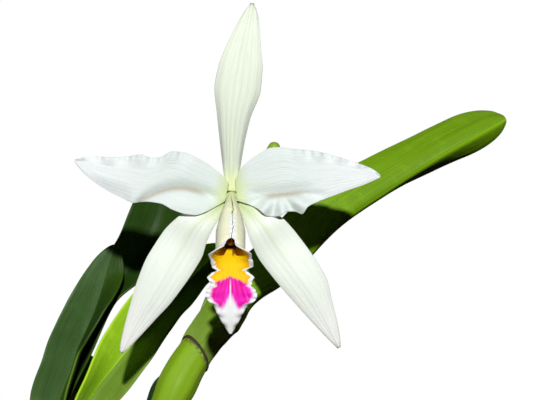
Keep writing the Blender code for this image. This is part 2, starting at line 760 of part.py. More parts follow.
def build_tepals(parts, sepal, petal):
    tepals = (
        ("sepal_dorsal", (0.0, 2.6), 83.8, DORSAL_OUTLINE, 1, dorsal_relief, sepal),
        ("sepal_left", (-2.6, -2.0), -124.6, LEFT_SEPAL_OUTLINE, -1, lateral_relief, sepal),
        ("sepal_right", (2.6, -2.0), -55.2, RIGHT_SEPAL_OUTLINE, 1, lateral_relief, sepal),
        ("petal_left", (-2.6, 1.8), 167.7, LEFT_PETAL_OUTLINE, -1, left_petal_relief, petal),
        ("petal_right", (2.6, 1.8), 6.8, RIGHT_PETAL_OUTLINE, 1, right_petal_relief, petal),
    )
    for node, start, angle, outline, outer_side, relief, material in tepals:
        is_petal = material == petal
        plane = PETAL_PLANE if is_petal else SEPAL_PLANE
        across, along = PETAL_GRID if is_petal else SEPAL_GRID
        thickness = PETAL_THICKNESS if is_petal else SEPAL_THICKNESS
        tuck = PETAL_TUCK if is_petal else 0.0
        angle = math.radians(angle)
        place = tepal_place(start, angle, outline, outer_side, plane, relief, tuck)
        grid_surface(node, across, along, place, thickness, parts, material)


def flower_point(forward, down):
    return Vector(FLOWER_CENTRE) + FORWARD * forward - Vector((0.0, 0.0, down))


def lip_half_width(distance, column):
    """Width of one half of the lip, which is rolled shut as far as its tube goes."""
    rolled = math.pi * LIP_CLOSE * smooth_value(LIP_ROLL, 1, distance)
    if distance <= LIP_TUBE_END:
        return rolled
    opened = smooth_value(LIP_OUTLINE, column, max(distance, LIP_OUTLINE[0][0]))
    share = ramp(distance, LIP_TUBE_END, LIP_OUTLINE[0][0])
    return rolled + (opened - rolled) * share


def lip_place(along, across):
    """The lip: rolled round the column at first, then spread into a frilled blade that hangs."""
    rows = with_distance([(forward, down, 0.0) for forward, down in LIP_LINE])
    distance = LIP_LENGTH * along
    point = path_point(rows, along)
    tangent = path_direction(rows, along)
    radius = smooth_value(LIP_ROLL, 1, distance)
    half = lip_half_width(distance, 1 if across < 0 else 2)
    arc = across * half
    sideways = radius * math.sin(arc / radius)
    rise = radius * (1 - math.cos(arc / radius))
    blade = ramp(distance, 30, 35)
    rise -= blade * (1.9 * abs(across) ** 3 + 0.5 * math.sin(distance * 1.6) * abs(across) ** 2)
    forward = point.x + tangent.y * rise
    down = point.y - tangent.x * rise
    return flower_point(forward, down) + Vector((sideways, 0.0, 0.0))


def build_column(parts, column, cap_material):
    points = [flower_point(forward, down) for forward, down in COLUMN_LINE]
    rows = with_distance([(*point, radius) for point, radius in zip(points, COLUMN_RADII)])
    round_stem(
        "column", rows, even_shares(13), lambda share: smooth_value(rows, 4, share), 10, parts, column
    )
    direction = path_direction(rows, 1.0)
    bm = bmesh.new()
    bmesh.ops.create_uvsphere(bm, u_segments=10, v_segments=6, radius=CAP_RADIUS * MM)
    mesh = bpy.data.meshes.new("anther_cap")
    bm.to_mesh(mesh)
    bm.free()
    mesh.shade_smooth()
    cap = make_object("anther_cap", mesh, parts, cap_material)
    cap.scale = (1.0, 1.0, 0.6)
    cap.rotation_euler = direction.to_track_quat("Z", "Y").to_euler()
    cap.location = (points[-1] + direction * (0.6 * CAP_RADIUS + GAP)) * MM


def build_flower_stem(parts, cutters, green):
    """Stem and the bud's stalk as one body, seated on the tip of its bulb."""
    rows = with_distance([(*point, radius) for point, radius in zip(STEM_PATH, STEM_RADII)])
    stem = round_stem(
        "flower_stem",
        rows,
        even_shares(16),
        lambda share: smooth_value(rows, 4, share),
        STEM_SIDES,
        parts,
        green,
    )
    stalks = make_collection("stalks")
    stalk_rows = with_distance([(*point, radius) for point, radius in zip(STALK_PATH, STALK_RADII)])
    round_stem(
        "stalk",
        stalk_rows,
        even_shares(10),
        lambda share: smooth_value(stalk_rows, 4, share),
        STALK_SIDES,
        stalks,
    )
    add_boolean(stem, "UNION", collection=stalks)
    add_boolean(stem, "DIFFERENCE", cutters.objects["cut_pseudobulb_front"])
    settle(stem)
    remove_collection(stalks)
    return rows


def build_spathe(rows, parts, cutters, green):
    """The green sheath that the flower stem grew out of, flattened and split at the back."""
    wrap = math.radians(160)

    def place(along, across):
        share = SPATHE_SHARE[0] + (SPATHE_SHARE[1] - SPATHE_SHARE[0]) * along
        direction = path_direction(rows, share)
        away = away_from(direction)
        side = away.cross(direction)
        radius = smooth_value(rows, 4, share) + GAP + SPATHE_WALL / 2 + 0.25
        flat = 1.0 + 0.9 * math.sin(math.pi * min(along * 0.9 + 0.1, 1.0))
        angle = across * wrap * (1 - 0.45 * along**2)
        sideways = side * math.sin(angle) * radius * flat
        return path_point(rows, share) + sideways - away * math.cos(angle) * radius

    spathe = grid_surface("flower_sheath", 10, 6, place, SPATHE_WALL, parts, green)
    add_boolean(spathe, "DIFFERENCE", cutters.objects["cut_pseudobulb_front"])


def build_bud(parts, green):
    lean = Vector(BUD_LEAN).normalized()
    start = Vector(STALK_PATH[-1]) + lean * 1.5 * GAP
    rows = with_distance([start, start + lean * BUD_LENGTH / 2, start + lean * BUD_LENGTH])
    round_stem(
        "flower_bud",
        rows,
        BUD_STEPS,
        lambda share: BUD_RADIUS * smooth_value(BUD_PROFILE, 1, share),
        BUD_SIDES,
        parts,
        green,
    )


def main():
    clear_scene()
    parts = make_collection(COLLECTION)
    cutters = make_collection("cutters")

    clay = make_material("clay", (0.52, 0.22, 0.12), 0.85)
    bark_brown = make_material("bark", (0.16, 0.09, 0.05), 0.9)
    root_grey = make_material("root", (0.55, 0.55, 0.45), 0.8)
    bulb_green = make_material("pseudobulb", (0.30, 0.48, 0.07), 0.45)
    dry_brown = make_material("dry_sheath", (0.40, 0.32, 0.22), 0.8)
    leaf_green = make_material("leaf", (0.17, 0.35, 0.04), 0.4)
    stem_green = make_material("flower_stem", (0.32, 0.48, 0.14), 0.5)
    sepal_cream = make_material("sepal", (0.86, 0.87, 0.74), 0.55)
    petal_white = make_material("petal", (0.90, 0.91, 0.89), 0.55)
    lip_colour = make_material("lip", (0.86, 0.62, 0.35), 0.5)

    build_pot(parts, cutters, clay)

    rhizome_cut = build_rhizome("cut_rhizome", cutters, grow=GAP)
    hide_cutter(rhizome_cut)
    build_rhizome("rhizome_and_roots", parts, root_grey)

    bark = build_bark(parts, bark_brown)
    for name in PSEUDOBULBS:
        cut = build_bulb(name, f"cut_pseudobulb_{name}", cutters, grow=GAP)
        hide_cutter(cut)
        bulb = build_bulb(name, f"pseudobulb_{name}", parts, bulb_green)
        add_boolean(bulb, "DIFFERENCE", rhizome_cut)
        add_boolean(bark, "DIFFERENCE", cut)
    add_boolean(bark, "DIFFERENCE", rhizome_cut)
    settle(bark)
    drop_scraps(bark)

    build_collar_cutter(cutters)
    for node, (bulb, start, end, flare) in SHEATHS.items():
        build_sheath(node, bulb, start, end, flare, parts, dry_brown)
    for name in LEAVES:
        build_leaf(name, parts, cutters, leaf_green)

    stem_rows = build_flower_stem(parts, cutters, stem_green)
    build_spathe(stem_rows, parts, cutters, stem_green)
    build_bud(parts, stem_green)

    build_tepals(parts, sepal_cream, petal_white)
    grid_surface("lip", *LIP_GRID, lip_place, LIP_THICKNESS, parts, lip_colour)
    build_column(parts, petal_white, sepal_cream)


main()
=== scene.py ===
"""Cattleya orchid in its clay pot: the finished looks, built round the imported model.

Lengths in the tables are millimetres, apart from the studio's, and MM turns them into metres. +Z is up,
+X is to the viewer's right and the flower looks along -Y.
"""

import functools
import math
import random

import bpy
from mathutils import Matrix, Vector, noise


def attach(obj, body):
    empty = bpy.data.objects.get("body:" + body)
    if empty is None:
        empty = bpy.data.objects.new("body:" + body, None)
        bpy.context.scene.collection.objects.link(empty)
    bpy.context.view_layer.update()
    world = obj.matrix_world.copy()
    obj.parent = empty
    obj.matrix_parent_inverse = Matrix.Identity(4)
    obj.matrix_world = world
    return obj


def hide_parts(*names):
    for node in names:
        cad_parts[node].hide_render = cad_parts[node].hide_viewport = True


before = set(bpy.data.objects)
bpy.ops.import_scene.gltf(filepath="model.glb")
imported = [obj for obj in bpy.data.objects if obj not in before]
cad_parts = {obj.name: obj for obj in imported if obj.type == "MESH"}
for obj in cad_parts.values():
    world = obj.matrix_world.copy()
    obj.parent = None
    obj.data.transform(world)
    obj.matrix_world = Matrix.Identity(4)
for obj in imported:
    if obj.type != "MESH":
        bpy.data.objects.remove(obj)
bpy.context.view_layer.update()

bl_info = {
    "name": "Cattleya Orchid",
    "version": (1, 0, 0),
    "blender": (4, 5, 0),
    "location": "3D View > Sidebar > Orchid",
    "description": "Builds a cattleya orchid in bloom, its clay pot and a plain studio",
    "category": "Add Mesh",
}

MM = 0.001
BODY = "root"
FORWARD = Vector((0.0, -1.0, 0.0))
AWAY = Vector((0.0, 1.0, 0.0))

# Pseudobulbs: path from the rhizome to the tip, and the greatest radius
PSEUDOBULBS = {
    "front": (
        (
            (-8, -36, 90), (-8, -35, 110), (-2.9, -32, 138.3), (6.3, -28.5, 165.7),
            (15.8, -25.5, 187.9), (20.8, -23, 197.9), (25.3, -20.5, 205), (27, -19.8, 207.4),
        ),
        8.4,
    ),
    "short": (((-2, -18, 90), (-2, -16, 108), (1, -11, 135), (5.5, -3, 165), (11.5, 4, 194.5)), 5.6),
    "middle": (((-12, -4, 90), (-15, -6, 108), (-19, -9, 135), (-23, -9.5, 160), (-24, -9, 172)), 7.4),
    "left": (((-24, 9, 90), (-29, 9, 106), (-36, 8, 132), (-40, 7, 155), (-39.5, 6.5, 168)), 7.4),
    "upper": (((-19, 25, 90), (-24, 26, 106), (-33, 27, 130), (-38.5, 27, 152), (-39, 27, 168)), 7.0),
    "old": (((-9, 39, 90), (-14, 40, 110), (-24, 41, 140), (-29, 41, 170), (-25, 41, 200)), 6.6),
}
BULB_PROFILE = (
    (0.0, 0.50), (0.12, 0.48), (0.35, 0.54), (0.60, 0.70), (0.78, 0.87), (0.86, 1.0), (0.92, 0.93),
    (0.96, 0.74), (1.0, 0.24),
)
BLUNT_PROFILE = BULB_PROFILE[:6] + (
    (0.94, 0.95), (0.978, 0.90), (0.986, 0.86), (0.992, 0.74), (0.997, 0.46), (1.0, 0.15),
)
# How much further up the front bulb's left and front sides reach than its right and back, near its tip
FRONT_SLANT = 0.37
FRONT_BULGE = 0.24

# Dry sheaths: the bulb, how far up each starts and ends, and the flare at its upper edge
SHEATHS = {
    "sheath_front": ("front", 0.10, 0.42, 0.6),
    "sheath_short": ("short", 0.10, 0.50, 0.5),
    "sheath_middle": ("middle", 0.14, 0.60, 0.7),
    "sheath_left": ("left", 0.14, 0.62, 0.6),
    "sheath_upper": ("upper", 0.14, 0.66, 0.5),
    "sheath_old": ("old", 0.10, 0.90, 0.4),
}

# Strap leaves, base to tip: the fold's place, half the width, and how far the blade's left and right
# halves turn away from the viewer, in degrees
LEAVES = {
    "right": (
        (23.6, -18.5, 199.6, 7.8, 38, 40), (25, -20.5, 203.8, 9, 40, 42), (28.7, -25.3, 210.6, 11.7, 52, 51),
        (36.2, -29, 220.6, 13.4, 56, 52), (46.1, -24.5, 229.3, 15.8, 44, 64),
        (62, -16.5, 237.1, 18.4, 22, 88), (86, -4, 260, 18.9, 13, 92),
        (108, 4, 275, 17.4, 24, 90), (130, 10, 289, 16.2, 40, 78), (147, 14, 298.5, 15.4, 45, 68),
        (161, 18, 306, 15, 47, 58),
    ),
    "middle": (
        (-24.9, -6, 167.4, 8, -52, -52), (-21.4, -8, 182.2, 12, -72, -34),
        (-17.2, -8, 189.5, 12.8, -68, -38), (-11.6, -7.5, 196.3, 13.7, -54, -44),
        (-5.7, -6, 203.2, 14.2, -38, -52), (-1.1, -3.5, 208.4, 14.6, -31, -58),
        (4.5, 0.7, 215.6, 14.9, -29, -62), (11.2, 7.6, 224.2, 15, -36, -63),
        (21, 15.2, 234, 14, -46, -68), (30, 18, 243, 12.5, -54, -60), (37, 18, 249, 10, -50, -48),
    ),
    "left": (
        (-39.5, 11.5, 162, 9, -52, -56), (-34.9, 12, 182.5, 14.2, -26, -84),
        (-30.1, 13, 195.3, 15.4, -31, -90), (-27.4, 14, 204.1, 15.6, -33, -89),
        (-24.4, 14, 210.7, 15.6, -34, -86), (-20.6, 14.5, 219.5, 15, -35, -80),
        (-18.2, 15.5, 226.9, 13.2, -36, -68), (-16, 16.5, 234.8, 9.8, -30, -46),
        (-14.3, 17, 240.5, 7.2, -24, -26), (-11, 17.5, 250, 4.2, -18, -18),
    ),
    "upper": (
        (-39, 32, 162, 8, -52, -58), (-36, 29, 181, 14, -45, -80), (-24.7, 28, 205.2, 15, -46, -80),
        (-15.5, 27, 226.3, 13, -34, -76), (-2.4, 28, 245.2, 12, -34, -44),
        (5.4, 30, 259.1, 14, -38, -36), (9.2, 34, 272, 12.4, -40, -38), (12.1, 36, 283, 9.4, -40, -40),
    ),
}
LEAF_FOLD_SOFTNESS = 0.22
LEAF_TIP_SHARE = 0.11
LEAF_TIP_HALF_WIDTH = 0.7

STEM_PATH = (
    (28.3, -19, 207.8), (32.7, -13, 222.5), (35.1, -8, 235.2), (38, -13.5, 247), (41, -29, 258.5),
    (41.4, -43, 267.5), (41.4, -50, 270.6), (41.4, -56, 270.8),
)
STEM_RADII = (1.9, 1.8, 1.8, 1.9, 2.3, 2.7, 3.2, 3.9)
STALK_PATH = (
    (39, -15, 249.5), (43.5, -25, 261), (47, -28, 266), (51.5, -29, 269), (54.6, -29.6, 271.2),
    (55.6, -30, 273), (55.9, -30.4, 275),
)
STALK_RADII = (1.4, 1.4, 1.4, 1.4, 1.5, 1.6, 1.7)
BUD_LENGTH = 19.5
BUD_RADIUS = 4.3
BUD_LEAN = (0.16, -0.2, 1.0)
BUD_PROFILE = (
    (0.0, 0.42), (0.12, 0.66), (0.42, 1.0), (0.7, 0.88), (0.9, 0.58), (0.97, 0.38), (1.0, 0.12),
)
SPATHE_SHARE = (0.03, 0.30)

# Creeping stem and roots
RHIZOME_RADIUS = 3.6
RHIZOME_PATH = (
    (-5, -45, 89), (-8, -36, 90), (-2, -18, 90), (-12, -4, 90), (-24, 9, 90), (-19, 25, 90),
    (-9, 39, 90),
)
ROOT_RADIUS = 1.4
ROOTS = (
    ((-6, -40, 90), (8, -46, 92), (22, -43, 91), (33, -36, 80)),
    ((-8, -34, 90), (-22, -38, 92), (-34, -33, 90), (-40, -26, 79)),
    ((-2, -16, 90), (14, -14, 93), (28, -6, 91), (37, 4, 80)),
    ((-22, 8, 90), (-36, 4, 92), (-45, -3, 89), (-47, -10, 79)),
    ((-14, 30, 90), (2, 30, 93), (16, 35, 90), (24, 38, 79)),
)

# Flower: the middle of its back, and how far in front of it each whorl starts
FLOWER_CENTRE = (41.4, -60.0, 270.8)
SEPAL_PLANE = -3.0
PETAL_PLANE = 0.0
PETAL_TUCK = 0.7

# Each outline is a list of (distance from the base, upper or outer edge, lower or inner edge)
DORSAL_OUTLINE = (
    (0, 2.2, -2.2), (8, 4.2, -2.3), (18, 6.5, -2.8), (30, 9.1, -4.3), (42, 11.4, -7.3),
    (50, 10.6, -7.1), (58, 8.4, -5.6), (66, 5.6, -4.2), (72, 3.2, -2.8), (76.5, 0.5, -0.5),
)
LEFT_PETAL_OUTLINE = (
    (0, 4.5, -3.0), (3, 6.9, -6.0), (6, 8.7, -8.9), (10, 10.4, -11.1), (14, 11.6, -11.4),
    (19, 12.6, -10.8), (24, 12.0, -9.4), (28, 8.8, -9.6), (32, 7.6, -10.5), (35, 8.1, -11.5),
    (39, 7.0, -10.6), (45, 5.0, -9.2), (51, 3.9, -7.1), (57, 2.8, -4.1), (61.6, 0.5, -0.5),
)
RIGHT_PETAL_OUTLINE = (
    (0, 5.4, -2.9), (3, 10.0, -4.3), (7, 13.1, -6.9), (11, 15.1, -10.6), (15, 16.6, -11.0),
    (19, 16.4, -9.6), (22, 15.6, -10.0), (24.5, 15.0, -11.3), (27, 14.5, -8.6), (31, 13.6, -7.2),
    (38, 11.2, -5.4), (44, 8.6, -3.9), (50, 5.9, -2.6), (55, 3.1, -1.2), (57.3, 0.5, -0.5),
)
LEFT_SEPAL_OUTLINE = (
    (0, 1.9, -1.0), (5, 6.0, -1.6), (10, 9.5, -1.8), (16, 12.6, -2.6), (24, 14.0, -4.9),
    (34, 13.7, -5.3), (44, 11.8, -5.0), (54, 8.7, -3.6), (64, 5.2, -2.2), (70, 2.8, -1.2),
    (73.4, 0.9, -0.2),
)
RIGHT_SEPAL_OUTLINE = (
    (0, 1.9, -1.0), (5, 5.4, -1.9), (10, 9.0, -3.0), (16, 11.5, -4.8), (24, 12.4, -6.0),
    (34, 12.7, -5.5), (44, 12.1, -4.5), (54, 8.5, -3.3), (64, 4.6, -1.8), (69, 2.0, -0.8),
    (71, 0.5, -0.3),
)

# Lip: its middle line as (forward, down), the radius it is rolled to along that line, and the width
# of its two halves
LIP_LINE = (
    (0.8, 2.0), (3.6, 5.2), (8.3, 11.8), (14.8, 18.2), (19.5, 23.5), (22.0, 30.0), (23.2, 38.0),
    (22.8, 46.0), (20.6, 52.8),
)
LIP_LENGTH = sum(math.dist(a, b) for a, b in zip(LIP_LINE, LIP_LINE[1:]))
LIP_ROLL = (
    (0, 2.4), (3, 3.3), (7, 4.8), (11, 5.4), (28.3, 5.4), (29.8, 6.6), (31.2, 12.0), (33.0, 17.0),
    (58.7, 24.0),
)
LIP_CLOSE = 0.98
LIP_TUBE_END = 27.0
# How far the tube has opened into the blade, from its end on
LIP_MOUTH = ((27.0, 0.0), (27.5, 0.17), (29.2, 0.25), (29.9, 0.60), (30.5, 1.0))
LIP_OUTLINE = (
    (30.0, 8.8, 9.2), (31.2, 7.9, 9.4), (32.2, 7.6, 9.3), (33.5, 5.5, 6.3), (34.8, 7.4, 7.4),
    (36.4, 9.5, 9.8), (38.1, 8.3, 8.6), (39.7, 7.7, 8.4), (41.4, 9.7, 10.2), (43.4, 10.0, 10.9),
    (45.4, 9.0, 10.0), (47.0, 6.8, 7.2), (50.8, 5.1, 4.8), (54.3, 3.4, 3.2), (56.8, 1.9, 1.7),
    (58.7, 0.5, 0.5),
)

COLUMN_LINE = (
    (-3.7, 0.0), (-0.8, 0.0), (0.8, 0.0), (2.4, 0.2), (5.4, 1.7), (9.6, 5.3), (14.0, 9.6),
    (18.4, 14.2), (19.8, 15.6),
)
COLUMN_RADII = (2.2, 2.6, 2.5, 1.7, 1.5, 2.3, 2.9, 3.0, 2.4)
CAP_RADIUS = 2.2

# Clay pot: (radius, height) up its outer side, over the rim and down to the inner floor
POT_PROFILE = (
    (42.0, 0.0), (43.3, 0.5), (43.9, 1.6), (57.3, 78.5), (61.2, 79.6), (61.9, 80.6), (62.2, 81.6),
    (63.0, 98.0), (62.8, 99.2), (62.0, 99.9), (60.8, 100.0), (59.4, 99.7), (58.3, 98.8), (57.8, 97.2),
    (39.6, 8.0), (38.2, 6.4), (36.5, 6.0),
)
DRAIN_RADIUS = 5.0
DRAIN_CIRCLE = 22.0
DRAIN_COUNT = 3
DRAIN_DEPTH = 18.0
POT_CREASE = math.radians(35)
BARK_TOP = 88.0
BARK_REACH = 50.0
BARK_SEED = 11
# The fill's radius, depth and the height of its middle, and the share its foot is narrowed to
BARK_FILL = (54.6, 78.5, 46.2)
BARK_FILL_TAPER = 0.68
BARK_FILL_TONE = 0.15
# Loose chips: shares of the usual length, greatest tilt, heights about their sunken middle, and the
# room kept round each bulb with the share of the chip's length that is added to it
CHIP_TEMPLATES = 5
CHIP_LENGTHS = (0.65, 1.35)
CHIP_TILT = 0.45
CHIP_HEIGHTS = (-1.4, 1.6)
CHIP_SUNK = 1.4
CHIP_CLEARANCE = 4.6
CHIP_REACH = 0.3
CHIP_CREASE = math.radians(38)

SHEATH_WRAP = math.radians(172)
SHEATH_TEAR = 0.16
# Gap between a bulb and its sheath's inner face
SHEATH_CLEARANCE = 0.59
SPATHE_WRAP = math.radians(160)
SPATHE_WALL = 0.6
ROOT_PLATE_COLOUR = (0.75, 0.74, 0.68)

# Sheets: columns and rows of the grid, the share of the wall left at the side edges, and how far out
# from the middle the wall starts to thin
SHEETS = {
    "leaf": (26, 110, 0.6, 0.7),
    "sheath": (64, 30, 1.0, 0.75),
    "collar": (96, 6, 1.0, 0.75),
    "spathe": (40, 30, 1.0, 0.75),
    "sepal": (28, 80, 0.5, 0.7),
    "petal": (44, 110, 0.5, 0.7),
    "lip": (90, 220, 0.5, 0.85),
}
# Tubes: faces round the tube, and along it
TUBES = {
    "bulb": (48, 110), "stem": (28, 90), "stalk": (20, 40), "bud": (48, 60), "column": (36, 60),
    "rhizome": (28, 150), "root": (16, 80),
}
SEAM_JOIN = 0.002

# Studio, in metres: the key light's place from the flower, each other light's place and size, how far
# the floor lies below the pot, and the camera with its lens in millimetres
KEY_OFFSET = (0.03, -1.42, 0.51)
FILL_LIGHTS = {
    "left": ((-0.8, 1.6, 0.6), 0.9),
    "right": ((0.8, 1.6, 0.6), 0.9),
    "back": ((0.2, 1.5, 1.3), 1.0),
}
FILL_TARGET = (0.0, 0.0, 0.15)
CAMERA_PLACE = (0.0554, -0.81, 0.27)
CAMERA_LENS = 126.6
FLOOR_DROP = 0.0002


# Curves through tables


def slope_at(rows, column, i):
    """Slope through row i, flat where the curve turns there, so that it never overshoots."""
    before, after = (
        (rows[j][column] - rows[j - 1][column]) / (rows[j][0] - rows[j - 1][0]) for j in (i, i + 1)
    )
    if before * after <= 0:
        return 0.0
    return 2 * before * after / (before + after)


def cubic(a, b, column, start, end, x):
    """Column at x between rows a and b, on a curve that leaves at slope start and arrives at slope end."""
    width = b[0] - a[0]
    s = min(max((x - a[0]) / width, 0.0), 1.0)
    return (
        a[column] * (1 + 2 * s) * (1 - s) ** 2
        + b[column] * s * s * (3 - 2 * s)
        + width * start * s * (1 - s) ** 2
        - width * end * s * s * (1 - s)
    )


def row_before(rows, x):
    i = 0
    while i < len(rows) - 2 and x > rows[i + 1][0]:
        i += 1
    return i


def smooth_value(rows, column, x):
    """Column of rows at x, on a curve that never swings past its rows."""
    i = row_before(rows, x)
    a, b = rows[i], rows[i + 1]
    slope = (b[column] - a[column]) / (b[0] - a[0])
    start = slope_at(rows, column, i) if i > 0 else slope
    end = slope_at(rows, column, i + 1) if i < len(rows) - 2 else slope
    return cubic(a, b, column, start, end, x)


def swung_value(rows, column, x):
    """Column of rows at x, on a curve that may swing a little past its rows, as a bent stem does."""
    i = row_before(rows, x)
    a, b = rows[i], rows[i + 1]
    before, after = rows[max(i - 1, 0)], rows[min(i + 2, len(rows) - 1)]
    start = (b[column] - before[column]) / (b[0] - before[0])
    end = (after[column] - a[column]) / (after[0] - a[0])
    return cubic(a, b, column, start, end, x)


def with_distance(points, radii=None):
    """Rows of the share of the path's length so far, the point and, if given, the radius there."""
    lengths = [0.0]
    for a, b in zip(points, points[1:]):
        lengths.append(lengths[-1] + math.dist(a[:3], b[:3]))
    rows = [(length / lengths[-1], *point) for length, point in zip(lengths, points)]
    return [(*row, radius) for row, radius in zip(rows, radii)] if radii else rows


def path_point(rows, share):
    return Vector(swung_value(rows, column, share) for column in (1, 2, 3))


def path_direction(rows, share, step=0.01):
    ahead = path_point(rows, min(share + step, 1.0))
    behind = path_point(rows, max(share - step, 0.0))
    return (ahead - behind).normalized()


def path_ring(rows, share, slant=(0.0, 0.0)):
    """Middle, side and away direction of a ring round the path, tipped along it by slant."""
    direction = path_direction(rows, share)
    away = (AWAY - direction * AWAY.dot(direction)).normalized()
    side = away.cross(direction)
    return path_point(rows, share), side - direction * slant[0], away - direction * slant[1]


def ring_point(ring, angle, radius):
    """A point of the ring; at angle 0 it faces the viewer."""
    middle, side, away = ring
    return middle + (side * math.sin(angle) - away * math.cos(angle)) * radius


def ramp(x, start, end):
    """0 before start, 1 after end and a soft rise between."""
    s = min(max((x - start) / (end - start), 0.0), 1.0)
    return s * s * (3 - 2 * s)


def hump(x, rise_start, rise_end, fall_start, fall_end):
    return ramp(x, rise_start, rise_end) * (1 - ramp(x, fall_start, fall_end))


def bell(x, width):
    return math.exp(-((x / width) ** 2))


def grain(x, y, z=0.0):
    """Smooth noise from about -1 to 1."""
    return noise.noise(Vector((x, y, z)))


# Modelling with Blender's tools


def select_only(obj):
    bpy.ops.object.select_all(action="DESELECT")
    obj.select_set(True)
    bpy.context.view_layer.objects.active = obj


def add_primitive(name, adder, **settings):
    """Adds one of Blender's own mesh shapes and names it."""
    bpy.ops.object.select_all(action="DESELECT")
    adder(**settings)
    obj = bpy.context.object
    obj.name = obj.data.name = name
    return obj


def edit(obj):
    """Edit mode on obj with all of it selected."""
    select_only(obj)
    bpy.ops.object.mode_set(mode="EDIT")
    bpy.ops.mesh.select_all(action="SELECT")


def leave_edit():
    bpy.ops.object.mode_set(mode="OBJECT")


def apply_modifiers(obj):
    select_only(obj)
    for modifier in list(obj.modifiers):
        bpy.ops.object.modifier_apply(modifier=modifier.name)


def apply_place(obj):
    """Moves the object's place, turn and scale into its mesh."""
    select_only(obj)
    bpy.ops.object.transform_apply(location=True, rotation=True, scale=True)


def combine(obj, other, operation):
    """Joins the other object to obj, or cuts it out, and removes it."""
    change = obj.modifiers.new("combine", "BOOLEAN")
    change.operation = operation
    change.object = other
    apply_modifiers(obj)
    bpy.data.objects.remove(other)


def join_parts(parts):
    """Makes one object of the parts, under the first one's name."""
    select_only(parts[0])
    for part in parts:
        part.select_set(True)
    bpy.ops.object.join()


def lay_grid(name, columns, rows, place, attributes):
    """A grid whose points go to place(share along, -1 to 1 across), in millimetres."""
    adder = bpy.ops.mesh.primitive_grid_add
    obj = add_primitive(name, adder, x_subdivisions=columns, y_subdivisions=rows, size=2.0)
    mesh = obj.data
    spots = [((vert.co.y + 1) / 2, vert.co.x) for vert in mesh.vertices]
    for vert, (along, across) in zip(mesh.vertices, spots):
        vert.co = place(along, across) * MM
    for label, value_at in attributes.items():
        attribute = mesh.attributes.new(label, "FLOAT", "POINT")
        attribute.data.foreach_set("value", [value_at(*spot) for spot in spots])
    return obj


def build_sheet(name, kind, place, thickness, attributes=None, linings=()):
    """A thin blade, smoothed once, or left as laid where linings give the paint of its two faces."""
    columns, rows, rim, rim_start = SHEETS[kind]
    obj = lay_grid(name, columns, rows, place, attributes or {})
    group = obj.vertex_groups.new(name="wall")
    for loop, corner in zip(obj.data.loops, obj.data.uv_layers[0].data):
        across = abs(corner.uv.x * 2 - 1)
        share = 1 - (1 - rim) * ramp(across, rim_start, 1.0)
        group.add([loop.vertex_index], share, "REPLACE")
    wall = obj.modifiers.new("wall", "SOLIDIFY")
    wall.thickness = thickness
    wall.offset = 0.0
    wall.vertex_group = group.name
    if linings:
        wall.material_offset = 1
        for lining in linings:
            obj.data.materials.append(lining)
    else:
        smoothing = obj.modifiers.new("smoothing", "SUBSURF")
        smoothing.levels = smoothing.render_levels = 1
    apply_modifiers(obj)
    bpy.ops.object.shade_smooth()
    return obj


def lay_tube(name, kind, rows, radius_at=None, ripple=None, slant_at=None):
    """A closed round stem along rows, radius_at(share) thick, or as thick as the rows say."""
    columns, rings = TUBES[kind]

    def place(along, across):
        angle = across * math.pi
        radius = radius_at(along) if radius_at else smooth_value(rows, 4, along)
        if ripple:
            radius *= 1 + ripple(along, angle)
        if min(along, 1 - along) * rings < 0.5:
            radius = 0.0
        slant = slant_at(along) if slant_at else (0.0, 0.0)
        return ring_point(path_ring(rows, along, slant), angle, radius)

    obj = lay_grid(name, columns, rings, place, {})
    edit(obj)
    bpy.ops.mesh.remove_doubles(threshold=SEAM_JOIN * MM)
    bpy.ops.mesh.normals_make_consistent(inside=False)
    leave_edit()
    bpy.ops.object.shade_smooth()
    return obj


def finish_piece(obj, slot, material, *nodes):
    """Gives the piece its material, hangs it on the body it rides on and hides the solids it stands for."""
    if material:
        obj.data.materials.clear()
        obj.data.materials.append(material)
    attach(obj, BODY)
    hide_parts(*nodes)


# Materials


